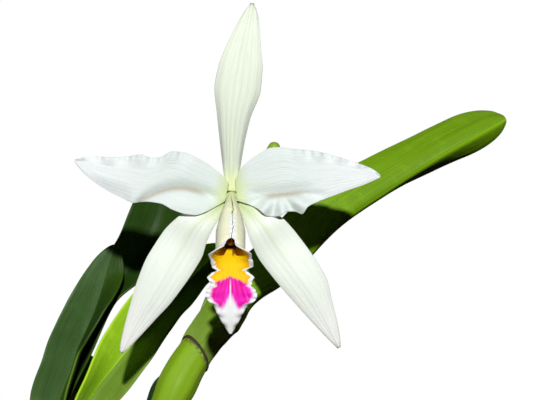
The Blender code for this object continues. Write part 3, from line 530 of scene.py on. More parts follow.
class Paint:
    """Builds one material. Its colour and its bump grow with each call that lays more on them."""

    def __init__(self, name, colour=None):
        self.material = bpy.data.materials.new(name)
        self.material.use_nodes = True
        self.tree = self.material.node_tree
        self.colour = colour
        self.bump = None
        self.place = self.add("ShaderNodeTexCoord", output="Object")

    def feed(self, socket, value):
        """Links a node's output to the socket, or sets the socket to a plain value."""
        if isinstance(value, bpy.types.NodeSocket):
            self.tree.links.new(value, socket)
        elif isinstance(socket.default_value, float):
            socket.default_value = value
        else:
            value = tuple(value)
            socket.default_value = value if len(socket.default_value) == len(value) else (*value, 1.0)

    def add(self, kind, inputs=(), output=0, **settings):
        """Adds a node, feeds its inputs in order or by name, and gives one of its outputs."""
        node = self.tree.nodes.new(kind)
        for key, value in settings.items():
            setattr(node, key, value)
        for key, value in inputs.items() if isinstance(inputs, dict) else enumerate(inputs):
            self.feed(node.inputs[key], value)
        return node.outputs[output]

    def calc(self, operation, *values):
        return self.add("ShaderNodeMath", values, operation=operation)

    def times(self, a, b):
        return self.calc("MULTIPLY", a, b)

    def plus(self, a, b):
        return self.calc("ADD", a, b)

    def minus(self, a, b):
        return self.calc("SUBTRACT", a, b)

    def mix(self, share, a, b):
        return self.add("ShaderNodeMix", {0: share, 6: a, 7: b}, 2, data_type="RGBA")

    def step(self, value, start, end, low=0.0, high=1.0):
        """low before start, high after end and a soft rise between."""
        values = (value, start, end, low, high)
        return self.add("ShaderNodeMapRange", values, interpolation_type="SMOOTHSTEP")

    def noise(self, scale, detail=2.0, roughness=0.5, distortion=0.0, vector=None):
        inputs = {"Vector": vector or self.place, "Scale": scale, "Detail": detail}
        return self.add("ShaderNodeTexNoise", {**inputs, "Roughness": roughness, "Distortion": distortion})

    def cells(self, scale):
        return self.add("ShaderNodeTexVoronoi", {"Vector": self.place, "Scale": scale}, "Distance")

    def join(self, x, y, z=0.0):
        return self.add("ShaderNodeCombineXYZ", (x, y, z))

    def attribute(self, name):
        return self.add("ShaderNodeAttribute", output="Fac", attribute_name=name)

    def surface(self):
        """How far across and along the piece a point lies, each from 0 to 1, from its own UV map."""
        across = self.add("ShaderNodeSeparateXYZ", (self.add("ShaderNodeUVMap", uv_map="UVMap"),))
        self.spot = (across, across.node.outputs[1])
        return self.spot

    def lines(self, count, length, detail=3.0):
        """Noise drawn out into fine lines that run the length of the piece."""
        stretched = self.join(self.times(self.spot[0], count), self.times(self.spot[1], length))
        return self.noise(1.0, detail, 0.55, vector=stretched)

    def lay(self, colour, share):
        self.colour = self.mix(share, self.colour, colour)

    def stain(self, colour, value, start, end, low=0.0, high=1.0):
        """Lays the colour on where the value's step from start to end says so."""
        self.lay(colour, self.step(value, start, end, low, high))

    def emboss(self, height, distance, strength):
        """Lays a bump of that height, in metres, on the bump so far."""
        below = {"Normal": self.bump} if self.bump else {}
        inputs = {"Height": height, "Distance": distance, "Strength": strength, **below}
        self.bump = self.add("ShaderNodeBump", inputs)

    def finish(self, roughness, specular=0.5, glow=None, **values):
        """Sets the shader's sockets. Glow is how much light goes in, its reach by colour and its scale."""
        values |= {"Base_Color": self.colour, "Roughness": roughness, "Specular_IOR_Level": specular}
        if self.bump:
            values["Normal"] = self.bump
        if glow:
            values |= zip(("Subsurface_Weight", "Subsurface_Radius", "Subsurface_Scale"), glow)
        for key, value in values.items():
            self.feed(self.tree.nodes["Principled BSDF"].inputs[key.replace("_", " ")], value)
        return self.material


def toned(colour, share):
    return tuple(min(channel * share, 1.0) for channel in colour)


def paint_leaf(name, left, right, far_right_shade, foot, gloss):
    """Waxy leaf: a colour for each half of the fold as painted light and shade, painted shade along the fold
    and on the outer part of the right half, fine length-wise veins and faint mottling.
    """
    paint = Paint(name)
    across, along = paint.surface()
    side = paint.step(across, 0.485, 0.515)
    pale, dark, paint.colour = (
        paint.mix(side, toned(left, share), toned(right, share)) for share in (1.7, 0.45, 1.0)
    )
    mottle = paint.noise(120.0, 4.0, 0.6)
    rib = paint.calc("ABSOLUTE", paint.minus(across, 0.5))
    paint.stain(dark, paint.lines(8.0, 1.6), 0.35, 0.75, 0.0, 0.4)
    paint.stain(pale, paint.lines(60.0, 3.0), 0.45, 0.75, 0.0, 0.3)
    paint.stain(pale, mottle, 0.5, 0.75, 0.0, 0.3)
    paint.stain(foot, along, 0.02, 0.2, 0.7, 0.0)
    # Painted shade: a thin darker line along the fold between the halves
    paint.stain(dark, rib, 0.003, 0.02, 0.4, 0.0)
    paint.stain(pale, rib, 0.475, 0.497, 0.0, 0.5)
    paint.stain(pale, paint.cells(330.0), 0.06, 0.14, 0.45, 0.0)
    # Painted shade: the outer part of the right half darkens towards the tip
    paint.lay(far_right_shade, paint.times(side, paint.step(along, 0.36, 0.48, 0.0, 0.85)))
    paint.emboss(paint.lines(110.0, 2.0, 1.0), 0.00035, 0.55)
    paint.emboss(paint.noise(1400.0), 0.00006, 0.5)
    roughness = paint.step(mottle, 0.3, 0.7, gloss - 0.05, gloss + 0.1)
    return paint.finish(roughness, 0.2, (0.02, (0.4, 1.0, 0.1), 0.0006))


def paint_bulb(name, colour, low_colour, speckle, rim, gloss=0.58):
    """Pseudobulb skin: smooth, with faint furrows, a duller foot, fine dots and a worn rim."""
    paint = Paint(name, low_colour)
    _, along = paint.surface()
    streaks = paint.lines(30.0, 2.5)
    mottle = paint.noise(140.0, 5.0, 0.65)
    paint.stain(colour, along, 0.35, 0.8)
    paint.stain(low_colour, streaks, 0.4, 0.75, 0.0, 0.35)
    paint.stain(speckle, mottle, 0.5, 0.72, 0.0, 0.3)
    paint.stain(speckle, paint.cells(520.0), 0.08, 0.2, 0.4, 0.0)
    scuffs = paint.step(paint.noise(520.0, 3.0, 0.6), 0.42, 0.54)
    paint.lay(rim, paint.times(paint.times(paint.step(along, 0.952, 0.976), scuffs), 0.8))
    paint.emboss(streaks, 0.0004, 0.35)
    paint.emboss(paint.noise(1800.0), 0.00008, 0.5)
    roughness = paint.step(mottle, 0.3, 0.7, gloss - 0.06, gloss + 0.1)
    return paint.finish(roughness, 0.22, (0.1, (0.5, 1.0, 0.1), 0.002))


def paint_dry(name, pale, dark):
    """Papery dead sheath: grey-brown fibres with darker stains."""
    paint = Paint(name, dark)
    paint.surface()
    fibres = paint.lines(90.0, 4.0, 4.0)
    stains = paint.noise(160.0, 5.0, 0.7)
    paint.stain(pale, fibres, 0.35, 0.65)
    paint.stain(dark, stains, 0.52, 0.75, 0.0, 0.7)
    paint.emboss(fibres, 0.0008, 0.8)
    paint.emboss(stains, 0.0006, 0.4)
    return paint.finish(0.82, 0.3)


def paint_tepal(name, settings, blade, foot, tip, foot_end, tip_start, vein_share):
    """Petal or sepal: translucent white, tinted at its foot and tip, with painted light on its outer half,
    painted shade in its crease and fine fanned veins.
    """
    paint = Paint(name, blade)
    across, along = paint.surface()
    veins = paint.lines(46.0, 2.2, 2.0)
    fine = paint.lines(130.0, 5.0, 2.0)
    mottle = paint.noise(220.0, 4.0, 0.6)
    middle = paint.calc("ABSOLUTE", paint.minus(across, 0.5))
    vein_tint = tuple(channel * share for channel, share in zip(blade, (0.80, 0.86, 0.88)))
    paint.stain(foot, along, 0.0, foot_end, 1.0, 0.0)
    reach = paint.step(along, foot_end * 0.6, foot_end * 3.2, 1.0, 0.0)
    paint.lay(foot, paint.times(paint.times(paint.step(middle, 0.0, 0.12, 1.0, 0.0), reach), 0.3))
    # Painted light: the outer half is lightened as if it caught more light
    paint.stain(toned(blade, 1.12), along, 0.5, 0.9)
    paint.stain(vein_tint, veins, 0.46, 0.74, 0.0, vein_share)
    paint.stain(vein_tint, fine, 0.5, 0.8, 0.0, vein_share * 0.8)
    # Painted shade in the crease
    paint.lay(settings.crease_shade_colour, paint.times(paint.attribute("crease"), 0.8))
    # For the sepals the tip colour is their withered brown tip; for the petals it is painted light on their
    # outer part
    paint.stain(tip, along, tip_start, 1.0, 0.0, 0.85)
    rim = paint.times(paint.step(middle, 0.488, 0.499), paint.step(mottle, 0.50, 0.62, 0.0, 0.7))
    paint.lay(settings.tip_colour, paint.times(rim, paint.step(along, 0.3, 0.5)))
    paint.stain(vein_tint, mottle, 0.55, 0.8, 0.0, 0.12)
    paint.emboss(veins, 0.0006, 0.35)
    paint.emboss(fine, 0.0003, 0.35)
    paint.emboss(paint.noise(2600.0, 1.0), 0.00005, 0.4)
    glow = (0.08, (1.0, 0.9, 0.7), 0.001)
    return paint.finish(0.55, 0.35, glow, Sheen_Weight=0.12, Sheen_Roughness=0.4)


def paint_lip(settings, inside):
    """One side of the lip: a cream tube, or a dark throat, golden blade and veined magenta lobe."""
    amber, magenta = settings.lip_amber_colour, settings.lip_magenta_colour
    margin = settings.lip_margin_colour
    paint = Paint("lip_inside" if inside else "lip_outside", settings.lip_gold_colour)
    down, side, edge = (paint.attribute(f"lip_{label}") for label in ("along", "side", "edge"))
    wide = paint.calc("ABSOLUTE", side)
    turn = paint.calc("ARCTAN2", side, paint.minus(down, LIP_TUBE_END))
    rays = paint.noise(1.0, 4.0, 0.6, vector=paint.join(paint.times(turn, 13.0), paint.times(down, 0.06)))
    swing = paint.minus(rays, 0.5)

    # The blade's face: gold above, the magenta lobe below it and the white foot
    paint.stain(amber, rays, 0.48, 0.7, 0.0, 0.6)
    # Painted shade: amber darkens the gold near the margin, in the frill's folds
    paint.stain(amber, edge, 1.5, 4.5, 0.75, 0.0)
    deep = paint.mix(paint.step(down, 38.0, 54.0), settings.lip_vein_colour, magenta)
    lobe = paint.mix(paint.step(rays, 0.42, 0.56, 1.0, 0.0), magenta, deep)
    lobe = paint.mix(paint.step(rays, 0.54, 0.70, 0.0, 0.45), lobe, settings.lip_pink_colour)
    top = paint.plus(paint.calc("MULTIPLY_ADD", wide, 0.40, 36.1), paint.times(swing, 2.4))
    foot = paint.plus(paint.calc("MULTIPLY_ADD", wide, 1.7, 43.4), paint.times(swing, 7.0))
    paint.stain(lobe, paint.minus(down, top), -0.5, 0.7)
    midline = paint.step(down, 35.5, 41.0, 0.0, 0.7)
    paint.lay(margin, paint.times(paint.step(wide, 0.08, 0.40, 1.0, 0.0), midline))
    paint.stain(margin, paint.minus(down, foot), -2.4, 1.8)

    if inside:
        wander = paint.times(paint.minus(paint.noise(420.0, 3.0, 0.6), 0.5), 1.2)
        stripe = paint.plus(paint.calc("ABSOLUTE", paint.minus(side, 1.3)), wander)
        mouth = paint.step(down, 26.0, 29.0, 1.0, 0.0)
        stripe = paint.times(paint.step(stripe, 0.25, 0.8, 1.0, 0.0), mouth)
        paint.lay(settings.lip_throat_colour, paint.times(stripe, 0.9))
        deep_in = paint.step(down, 24.0, 25.5, 1.0, 0.0)
        paint.lay(settings.lip_throat_colour, paint.times(paint.step(wide, 1.6, 3.0, 1.0, 0.0), deep_in))
    else:
        face, paint.colour = paint.colour, settings.lip_foot_colour
        lines = paint.join(paint.times(side, 1.3), paint.times(down, 0.05))
        paint.stain(settings.lip_tube_colour, down, 2.0, 16.0)
        paint.stain(settings.lip_foot_colour, paint.noise(1.0, 3.0, vector=lines), 0.4, 0.7, 0.0, 0.25)
        paint.stain(margin, down, LIP_TUBE_END, 33.0)
        paint.stain(face, down, 29.0, 36.0, 0.0, 0.35)

    frill = paint.plus(edge, paint.times(swing, 3.4))
    width = paint.step(down, 28.0, 31.0, 1.1, settings.lip_margin_width)
    fade = paint.step(down, 36.0, 40.0, 0.35, 1.4)
    frill = paint.step(paint.minus(frill, width), -0.45, fade, 1.0, 0.0)
    paint.lay(margin, paint.times(frill, paint.step(down, 14.0, 18.0)))
    paint.emboss(rays, 0.0006, 0.5)
    paint.emboss(paint.noise(2400.0, 1.0), 0.00006, 0.5)
    return paint.finish(0.6, 0.15, (0.08, (1.0, 0.6, 0.4), 0.0012))


def paint_stem(name, colour, flush, gloss=0.42):
    """Smooth living stem or bud, with faint length-wise lines and a flush of a second colour."""
    paint = Paint(name, colour)
    paint.surface()
    lines = paint.lines(24.0, 3.0)
    paint.stain(flush, paint.noise(110.0, 3.0, 0.6), 0.45, 0.72, 0.0, 0.7)
    paint.stain(flush, lines, 0.45, 0.75, 0.0, 0.3)
    paint.stain(flush, paint.cells(700.0), 0.08, 0.18, 0.25, 0.0)
    paint.emboss(lines, 0.0003, 0.5)
    return paint.finish(gloss, glow=(0.1, (0.5, 1.0, 0.2), 0.0015))


def paint_root(settings):
    """Silvery root skin over green, cracked into fine plates."""
    paint = Paint("root_skin", settings.root_colour)
    cracks = paint.cells(900.0)
    clouds = paint.noise(130.0, 4.0, 0.65)
    paint.stain(settings.root_green, clouds, 0.4, 0.7)
    paint.stain(ROOT_PLATE_COLOUR, cracks, 0.0, 0.35, 0.45, 0.0)
    paint.emboss(cracks, 0.0003, 0.7)
    paint.emboss(clouds, 0.0008, 0.5)
    return paint.finish(0.78, 0.3)


def paint_bark(settings):
    """Fir bark chips: brown plates with fibres, each chip its own tone."""
    paint = Paint("bark_chips", settings.bark_dark)
    stretched = paint.add("ShaderNodeMapping", {"Vector": paint.place, "Scale": (1.0, 1.0, 3.0)})
    fibres = paint.noise(260.0, 6.0, 0.7, 0.4, stretched)
    paint.lay(settings.bark_pale, paint.attribute("tone"))
    paint.stain(settings.bark_dark, fibres, 0.35, 0.7, 0.0, 0.6)
    paint.stain(settings.bark_red, paint.noise(90.0, 4.0, 0.6), 0.55, 0.75, 0.0, 0.5)
    paint.emboss(fibres, 0.002, 0.8)
    paint.emboss(paint.noise(1200.0, 3.0), 0.0003, 0.6)
    return paint.finish(0.9, 0.25)


def paint_clay(settings):
    """Fired clay: turning lines, sand, a damp foot and pale mineral bloom near the rim."""
    paint = Paint("clay", settings.clay_colour)
    height = paint.add("ShaderNodeSeparateXYZ", (paint.place,), 2)
    clouds = paint.noise(24.0, 5.0, 0.6)
    sand = paint.noise(1500.0, 3.0, 0.7)
    paint.stain(settings.clay_dark, clouds, 0.35, 0.7)
    paint.stain(settings.clay_dark, paint.plus(height, paint.times(clouds, 0.03)), 0.02, 0.07, 0.45, 0.0)
    bloom = paint.step(paint.noise(55.0, 6.0, 0.75, 0.6), 0.54, 0.72)
    paint.lay(settings.clay_bloom, paint.times(bloom, paint.step(height, 0.03, 0.09, 0.25, 0.65)))
    paint.stain(settings.clay_bloom, sand, 0.55, 0.75, 0.0, 0.3)
    paint.emboss(paint.noise(900.0, vector=paint.join(0.0, 0.0, height)), 0.0003, 0.6)
    paint.emboss(sand, 0.00025, 0.6)
    return paint.finish(0.88, 0.3)


def paint_floor(settings):
    """Pale floor that fades out into the white surroundings."""
    colour, radius = settings.floor_colour, settings.floor_radius
    paint = Paint("studio_floor", colour)
    reach = paint.add("ShaderNodeVectorMath", (paint.place,), "Value", operation="LENGTH")
    fade = paint.step(reach, radius * 0.45, radius * 0.97, 1.0, 0.0)
    return paint.finish(0.7, 0.2, Emission_Color=colour, Emission_Strength=0.3, Alpha=fade)


# Shapes


def leaf_half_width(rows, share):
    """Half the blade's width, closed to a round tip."""
    width = smooth_value(rows, 4, share)
    left = min((1 - share) / LEAF_TIP_SHARE, 1.0)
    return LEAF_TIP_HALF_WIDTH + (width - LEAF_TIP_HALF_WIDTH) * math.sqrt(1 - (1 - left) ** 2)


def leaf_place(rows, seed):
    """The blade's surface: two halves that turn away from the viewer about a soft fold."""

    def place(along, across):
        share = 1 - (1 - along) ** 1.15
        point, side, away = path_ring(rows, share)
        left_turn, right_turn = (math.radians(smooth_value(rows, column, share)) for column in (5, 6))
        left = away * math.sin(left_turn) - side * math.cos(left_turn)
        right = away * math.sin(right_turn) + side * math.cos(right_turn)
        width = leaf_half_width(rows, share) / (1 - LEAF_FOLD_SOFTNESS / 2)
        soft = math.hypot(across, LEAF_FOLD_SOFTNESS)
        left_share = (soft - across - LEAF_FOLD_SOFTNESS) / 2
        right_share = (soft + across - LEAF_FOLD_SOFTNESS) / 2
        sway = 0.35 * grain(along * 7, across * 1.2, seed) * abs(across) ** 1.5
        return point + (left * left_share + right * right_share) * width + away * sway

    return place


def bulb_rows(name):
    return with_distance(PSEUDOBULBS[name][0])


def bulb_radius(name, share):
    profile = BLUNT_PROFILE if name == "front" else BULB_PROFILE
    return PSEUDOBULBS[name][1] * smooth_value(profile, 1, share)


def front_slant(share):
    near_tip = ramp(share, 0.82, 0.97)
    return FRONT_SLANT * near_tip, FRONT_BULGE * near_tip


def sheath_place(node, wall, seed):
    """A papery sleeve round a bulb, split down the back, with a torn upper edge."""
    bulb, start, end, flare = SHEATHS[node]
    rows = bulb_rows(bulb)

    def place(along, across):
        tear = SHEATH_TEAR * (0.5 + 0.5 * grain(across * 4.5, seed, 3.0)) * along**3
        share = start + (end - start) * along * (1 - tear)
        crumple = 0.16 * grain(across * 6, along * 5, seed) + 0.06 * math.sin(across * 34)
        radius = bulb_radius(bulb, share) + SHEATH_CLEARANCE + wall / 2 + flare * along**3 + crumple
        return ring_point(path_ring(rows, share), across * SHEATH_WRAP, radius)

    return place


def collar_place(along, across):
    """The dried rim of the front bulb, set slantwise below its leaf."""
    torn = 0.003 * grain(across * 11, 4.0) * (1 - along)
    share = 0.975 + 0.0115 * along + torn
    radius = bulb_radius("front", share) + 0.30 + 0.14 * grain(across * 14, along * 2, 8.0)
    return ring_point(path_ring(bulb_rows("front"), share, front_slant(share)), across * math.pi, radius)


def dorsal_relief(distance, offset, across):
    arch = 4.0 * math.sin(math.pi * distance / 80) - 4.5 * (distance / 76) ** 3
    roll = 2.6 * ramp(distance, 2, 14) * (1 - 0.75 * ramp(distance, 34, 60))
    midrib = 0.5 * bell(across, 0.2) * ramp(distance, 0, 10) + 0.7 * bell(distance, 9)
    ribs = 0.10 * math.cos(across * 19) * ramp(distance, 4, 16) * (1 - 0.6 * abs(across))
    return arch - roll * abs(across) ** 2.5 + midrib + ribs


def left_valley(distance, offset):
    """How far below the left petal's curved valley a point lies."""
    return -1.0 - 0.05 * (distance - 14) ** 2 * (0.35 if distance < 14 else 0.55) - offset


def left_petal_relief(distance, offset, across):
    """A gentle arch with one large lobe that lifts forward below a curved valley."""
    arch = 5.0 * math.sin(math.pi * distance / 70) - 3.0 * (distance / 62) ** 2
    below = left_valley(distance, offset)
    lobe = (1.6 * ramp(below, 0.5, 8.5) - 1.8 * bell(below, 2.6)) * hump(distance, 1, 7, 31, 37)
    crimp = 0.9 * math.sin(distance * 0.55 + 0.6) * ramp(across, 0.35, 1.0) * ramp(distance, 12, 22)
    fold = -1.3 * ramp(-across, 0.2, 1.0) * hump(distance, 33, 40, 46, 58)
    fine = 0.22 * math.sin(distance * 2.3 + 2 * grain(distance * 0.2, 5)) * ramp(across, 0.6, 1.0)
    return arch + lobe + crimp + fold + fine * ramp(distance, 14, 20)


def left_petal_crease_shade(distance, offset):
    return bell(left_valley(distance, offset) - 0.4, 1.3) * hump(distance, 5, 12, 33, 39)


def right_petal_relief(distance, offset, across):
    """A gentle arch whose lower edge is gathered in ruffles that spread from one point."""
    arch = 5.0 * math.sin(math.pi * distance / 66) - 3.0 * (distance / 58) ** 2
    turn = math.atan2(offset + 0.5, distance - 16.5)
    reach = math.hypot(offset + 0.5, distance - 16.5)
    ruffle = 1.5 * math.sin(7.5 * turn + 0.5) * ramp(reach, 2.5, 9.5)
    lower = ramp(-offset, 0.5, 4.5) * hump(distance, 2, 7, 30, 38)
    lobe = (ruffle + 1.2 * ramp(-offset, 2.0, 9.0)) * lower
    valley = -1.4 * bell(offset + 1.5, 2.4) * hump(distance, 2, 8, 24, 34)
    crimp = 0.8 * math.sin(distance * 0.8) * ramp(across, 0.45, 1.0) * ramp(distance, 20, 30)
    fine = 0.25 * math.sin(distance * 2.6 + 2 * grain(distance * 0.25, 9)) * ramp(across, 0.65, 1.0)
    return arch + lobe + valley + crimp + fine * ramp(distance, 24, 32)


def right_petal_crease_shade(distance, offset):
    return bell(offset + 2.6, 1.3) * hump(distance, 8, 14, 22, 32)


def lateral_relief(distance, offset, across):
    arch = 3.2 * math.sin(math.pi * distance / 74) ** 2 - 1.2 * (distance / 74) ** 2
    roll = 1.7 * abs(across) ** 2.2 * ramp(distance, 2, 16) * (1 - 0.7 * ramp(distance, 36, 64))
    shoulder = 4.3 * bell(distance - 12, 9)
    midrib = 0.4 * bell(across, 0.22)
    ribs = 0.09 * math.cos(across * 23) * ramp(distance, 4, 14) * (1 - 0.7 * abs(across))
    return arch + shoulder - roll + midrib + ribs


def no_crease(distance, offset):
    return 0.0


# Petals and sepals: start beside the flower's middle, angle, outline, the side its outer edge is on,
# the relief towards the viewer and the painted shade in the crease
TEPALS = {
    "sepal_dorsal": ((0.0, 2.6), 83.8, DORSAL_OUTLINE, 1, dorsal_relief, no_crease),
    "sepal_left": ((-2.6, -2.0), -124.6, LEFT_SEPAL_OUTLINE, -1, lateral_relief, no_crease),
    "sepal_right": ((2.6, -2.0), -55.2, RIGHT_SEPAL_OUTLINE, 1, lateral_relief, no_crease),
    "petal_left": ((-2.6, 1.8), 167.7, LEFT_PETAL_OUTLINE, -1, left_petal_relief, left_petal_crease_shade),
    "petal_right": ((2.6, 1.8), 6.8, RIGHT_PETAL_OUTLINE, 1, right_petal_relief, right_petal_crease_shade),
}


def tepal_spot(outline, along, across):
    """Distance from the base and sideways offset of a point on a petal or sepal."""
    distance = outline[-1][0] * (1 - (1 - along) ** 1.2)
    outer, inner = (smooth_value(outline, column, distance) for column in (1, 2))
    return distance, (outer + inner) / 2 + across * (outer - inner) / 2


def tepal_place(node):
    """A petal or sepal: an outline along a straight axis, with relief towards the viewer."""
    start, angle, outline, outer_side, relief, _ = TEPALS[node]
    plane, tuck = (PETAL_PLANE, PETAL_TUCK) if node.startswith("petal") else (SEPAL_PLANE, 0.0)
    axis = Vector((math.cos(math.radians(angle)), 0.0, math.sin(math.radians(angle))))
    side = Vector((-axis.z, 0.0, axis.x)) * outer_side
    base = Vector(FLOWER_CENTRE) + Vector((start[0], 0.0, start[1]))

    def place(along, across):
        distance, offset = tepal_spot(outline, along, across)
        forward = plane + relief(distance, offset, across)
        reach = distance - tuck * (1 - ramp(distance, 0, 8))
        return base + axis * reach + side * offset + FORWARD * forward

    return place


def flower_point(forward, down):
    return Vector(FLOWER_CENTRE) + FORWARD * forward - Vector((0.0, 0.0, down))


def lip_half_width(distance, column):
    """Width of one half of the lip, which is rolled shut as far as its tube goes."""
    shut = LIP_CLOSE + 0.013 * ramp(distance, 14.5, 17.5)
    rolled = math.pi * shut * smooth_value(LIP_ROLL, 1, distance)
    if distance <= LIP_TUBE_END:
        return rolled
    opened = smooth_value(LIP_OUTLINE, column, max(distance, LIP_OUTLINE[0][0]))
    opened += 0.35 * grain(distance * 1.2, column * 5.0) * hump(distance, 30, 32, 45, 50)
    return rolled + (opened - rolled) * smooth_value(LIP_MOUTH, 1, distance)


LIP_ROWS = with_distance([(forward, down, 0.0) for forward, down in LIP_LINE])


@functools.lru_cache(maxsize=None)
def lip_station(along):
    distance = LIP_LENGTH * along
    halves = (lip_half_width(distance, 1), lip_half_width(distance, 2))
    radius = smooth_value(LIP_ROLL, 1, distance)
    return distance, path_point(LIP_ROWS, along), path_direction(LIP_ROWS, along), radius, halves


def lip_side(along, across):
    """Width from the middle line, negative on the left."""
    return across * lip_station(along)[4][0 if across < 0 else 1]


def lip_edge(along, across):
    """Distance from the nearest margin."""
    distance, _, _, _, halves = lip_station(along)
    return min((1 - abs(across)) * halves[0 if across < 0 else 1], LIP_LENGTH - distance)


def lip_place(along, across):
    """The lip: rolled round the column at first, then spread into a frilled blade that hangs."""
    distance, point, tangent, radius, _ = lip_station(along)
    turn = lip_side(along, across) / radius
    out = abs(across)
    blade = ramp(distance, 30, 35)
    hem = ramp(distance, 13, 18) * (1 - blade) * ramp(out, 0.94, 1.0)
    curl = hem * (0.45 + 0.8 * grain(distance * 1.9, 3.0 if across < 0 else 8.0))
    slim = 0.55 + 0.45 * min(distance / 20, 1) ** 1.5
    seam = ramp(out, 0.80, 0.97) * hump(distance, 2, 10, 25, 29)
    sideways = (radius + curl) * math.sin(turn) * slim
    sideways += seam * (0.8 + 0.7 * grain(distance * 0.55, 12.0))
    rise = radius - (radius + curl) * math.cos(turn)
    rise -= blade * (1.9 * out**3 + 0.5 * math.sin(distance * 1.6) * out**2)
    frill = 0.55 * math.sin(distance * 2.9 + 1.5 * grain(distance * 0.3, across)) * ramp(out, 0.72, 1.0)
    rise += frill * ramp(distance, 27, 31) * (1 - 0.8 * ramp(distance, 44, 49))
    rise += 0.35 * bell(across, 0.12) * hump(distance, 29, 33, 44, 54)
    sunk = flower_point(point.x + tangent.y * rise, point.y - tangent.x * rise)
    return sunk + Vector((sideways, 0.0, 0.0))


# Settings a user would change


def swatch(name, description, *value):
    """A colour the user can pick."""
    return bpy.props.FloatVectorProperty(
        name=name, description=description, default=value, subtype="COLOR", size=3, min=0.0, max=1.0
    )


def measure(name, description, value):
    """A length the user can set, in metres."""
    return bpy.props.FloatProperty(
        name=name, description=description, default=value, subtype="DISTANCE", unit="LENGTH", min=0.0
    )


def amount(name, description, value, unit="NONE"):
    """A plain number the user can set."""
    return bpy.props.FloatProperty(name=name, description=description, default=value, unit=unit, min=0.0)


class OrchidFlowerSettings(bpy.types.PropertyGroup):
    petal_thickness: measure("Petal thickness", "Wall of the petals", 0.0008)
    sepal_thickness: measure("Sepal thickness", "Wall of the sepals", 0.001)
    lip_thickness: measure("Lip thickness", "Wall of the lip", 0.0008)
    petal_colour: swatch("Petal", "Blade of the petals", 0.76, 0.83, 0.80)
    petal_foot_colour: swatch("Petal foot", "Tint at the petals' base", 0.66, 0.76, 0.38)
    # Painted light: lightens the petals' outer part
    petal_lit_tip_colour: swatch("Petal tip", "Outer half of the petals", 0.95, 0.99, 1.0)
    sepal_colour: swatch("Sepal", "Blade of the lower sepals", 0.90, 0.96, 0.86)
    sepal_foot_colour: swatch("Sepal foot", "Tint at the lower sepals' base", 0.58, 0.68, 0.32)
    dorsal_colour: swatch("Dorsal sepal", "Blade of the upper sepal", 0.79, 0.85, 0.71)
    dorsal_foot_colour: swatch("Dorsal foot", "Tint at the upper sepal's base", 0.84, 0.93, 0.46)
    # Painted shade: the brown of the petals' creases
    crease_shade_colour: swatch("Crease", "Painted shade in the petals' folds", 0.40, 0.34, 0.24)
    tip_colour: swatch("Tip", "Withered tip of the sepals", 0.42, 0.30, 0.16)
    lip_tube_colour: swatch("Lip tube", "Rolled part of the lip", 0.90, 0.90, 0.66)
    lip_foot_colour: swatch("Lip foot", "Base of the rolled part", 0.82, 0.86, 0.50)
    lip_gold_colour: swatch("Lip gold", "Upper blade of the lip", 0.95, 0.62, 0.002)
    lip_amber_colour: swatch("Lip amber", "Veins in the golden part", 0.86, 0.40, 0.002)
    lip_magenta_colour: swatch("Lip magenta", "Lobe of the lip", 0.92, 0.012, 0.56)
    lip_vein_colour: swatch("Lip veins", "Veins and top of the lobe", 0.76, 0.001, 0.24)
    lip_pink_colour: swatch("Lip pink", "Pale streaks of the lobe", 0.96, 0.16, 0.66)
    lip_throat_colour: swatch("Lip throat", "Stain in the throat", 0.12, 0.016, 0.003)
    # The cap is given a dark red-brown colour
    anther_colour: swatch("Anther cap", "Dark red-brown cap of the column", 0.24, 0.06, 0.018)
    lip_margin_colour: swatch("Lip margin", "Frill and tip", 0.91, 0.93, 0.92)
    lip_margin_width: amount("Frill width", "Width of the white margin, in millimetres", 1.6)


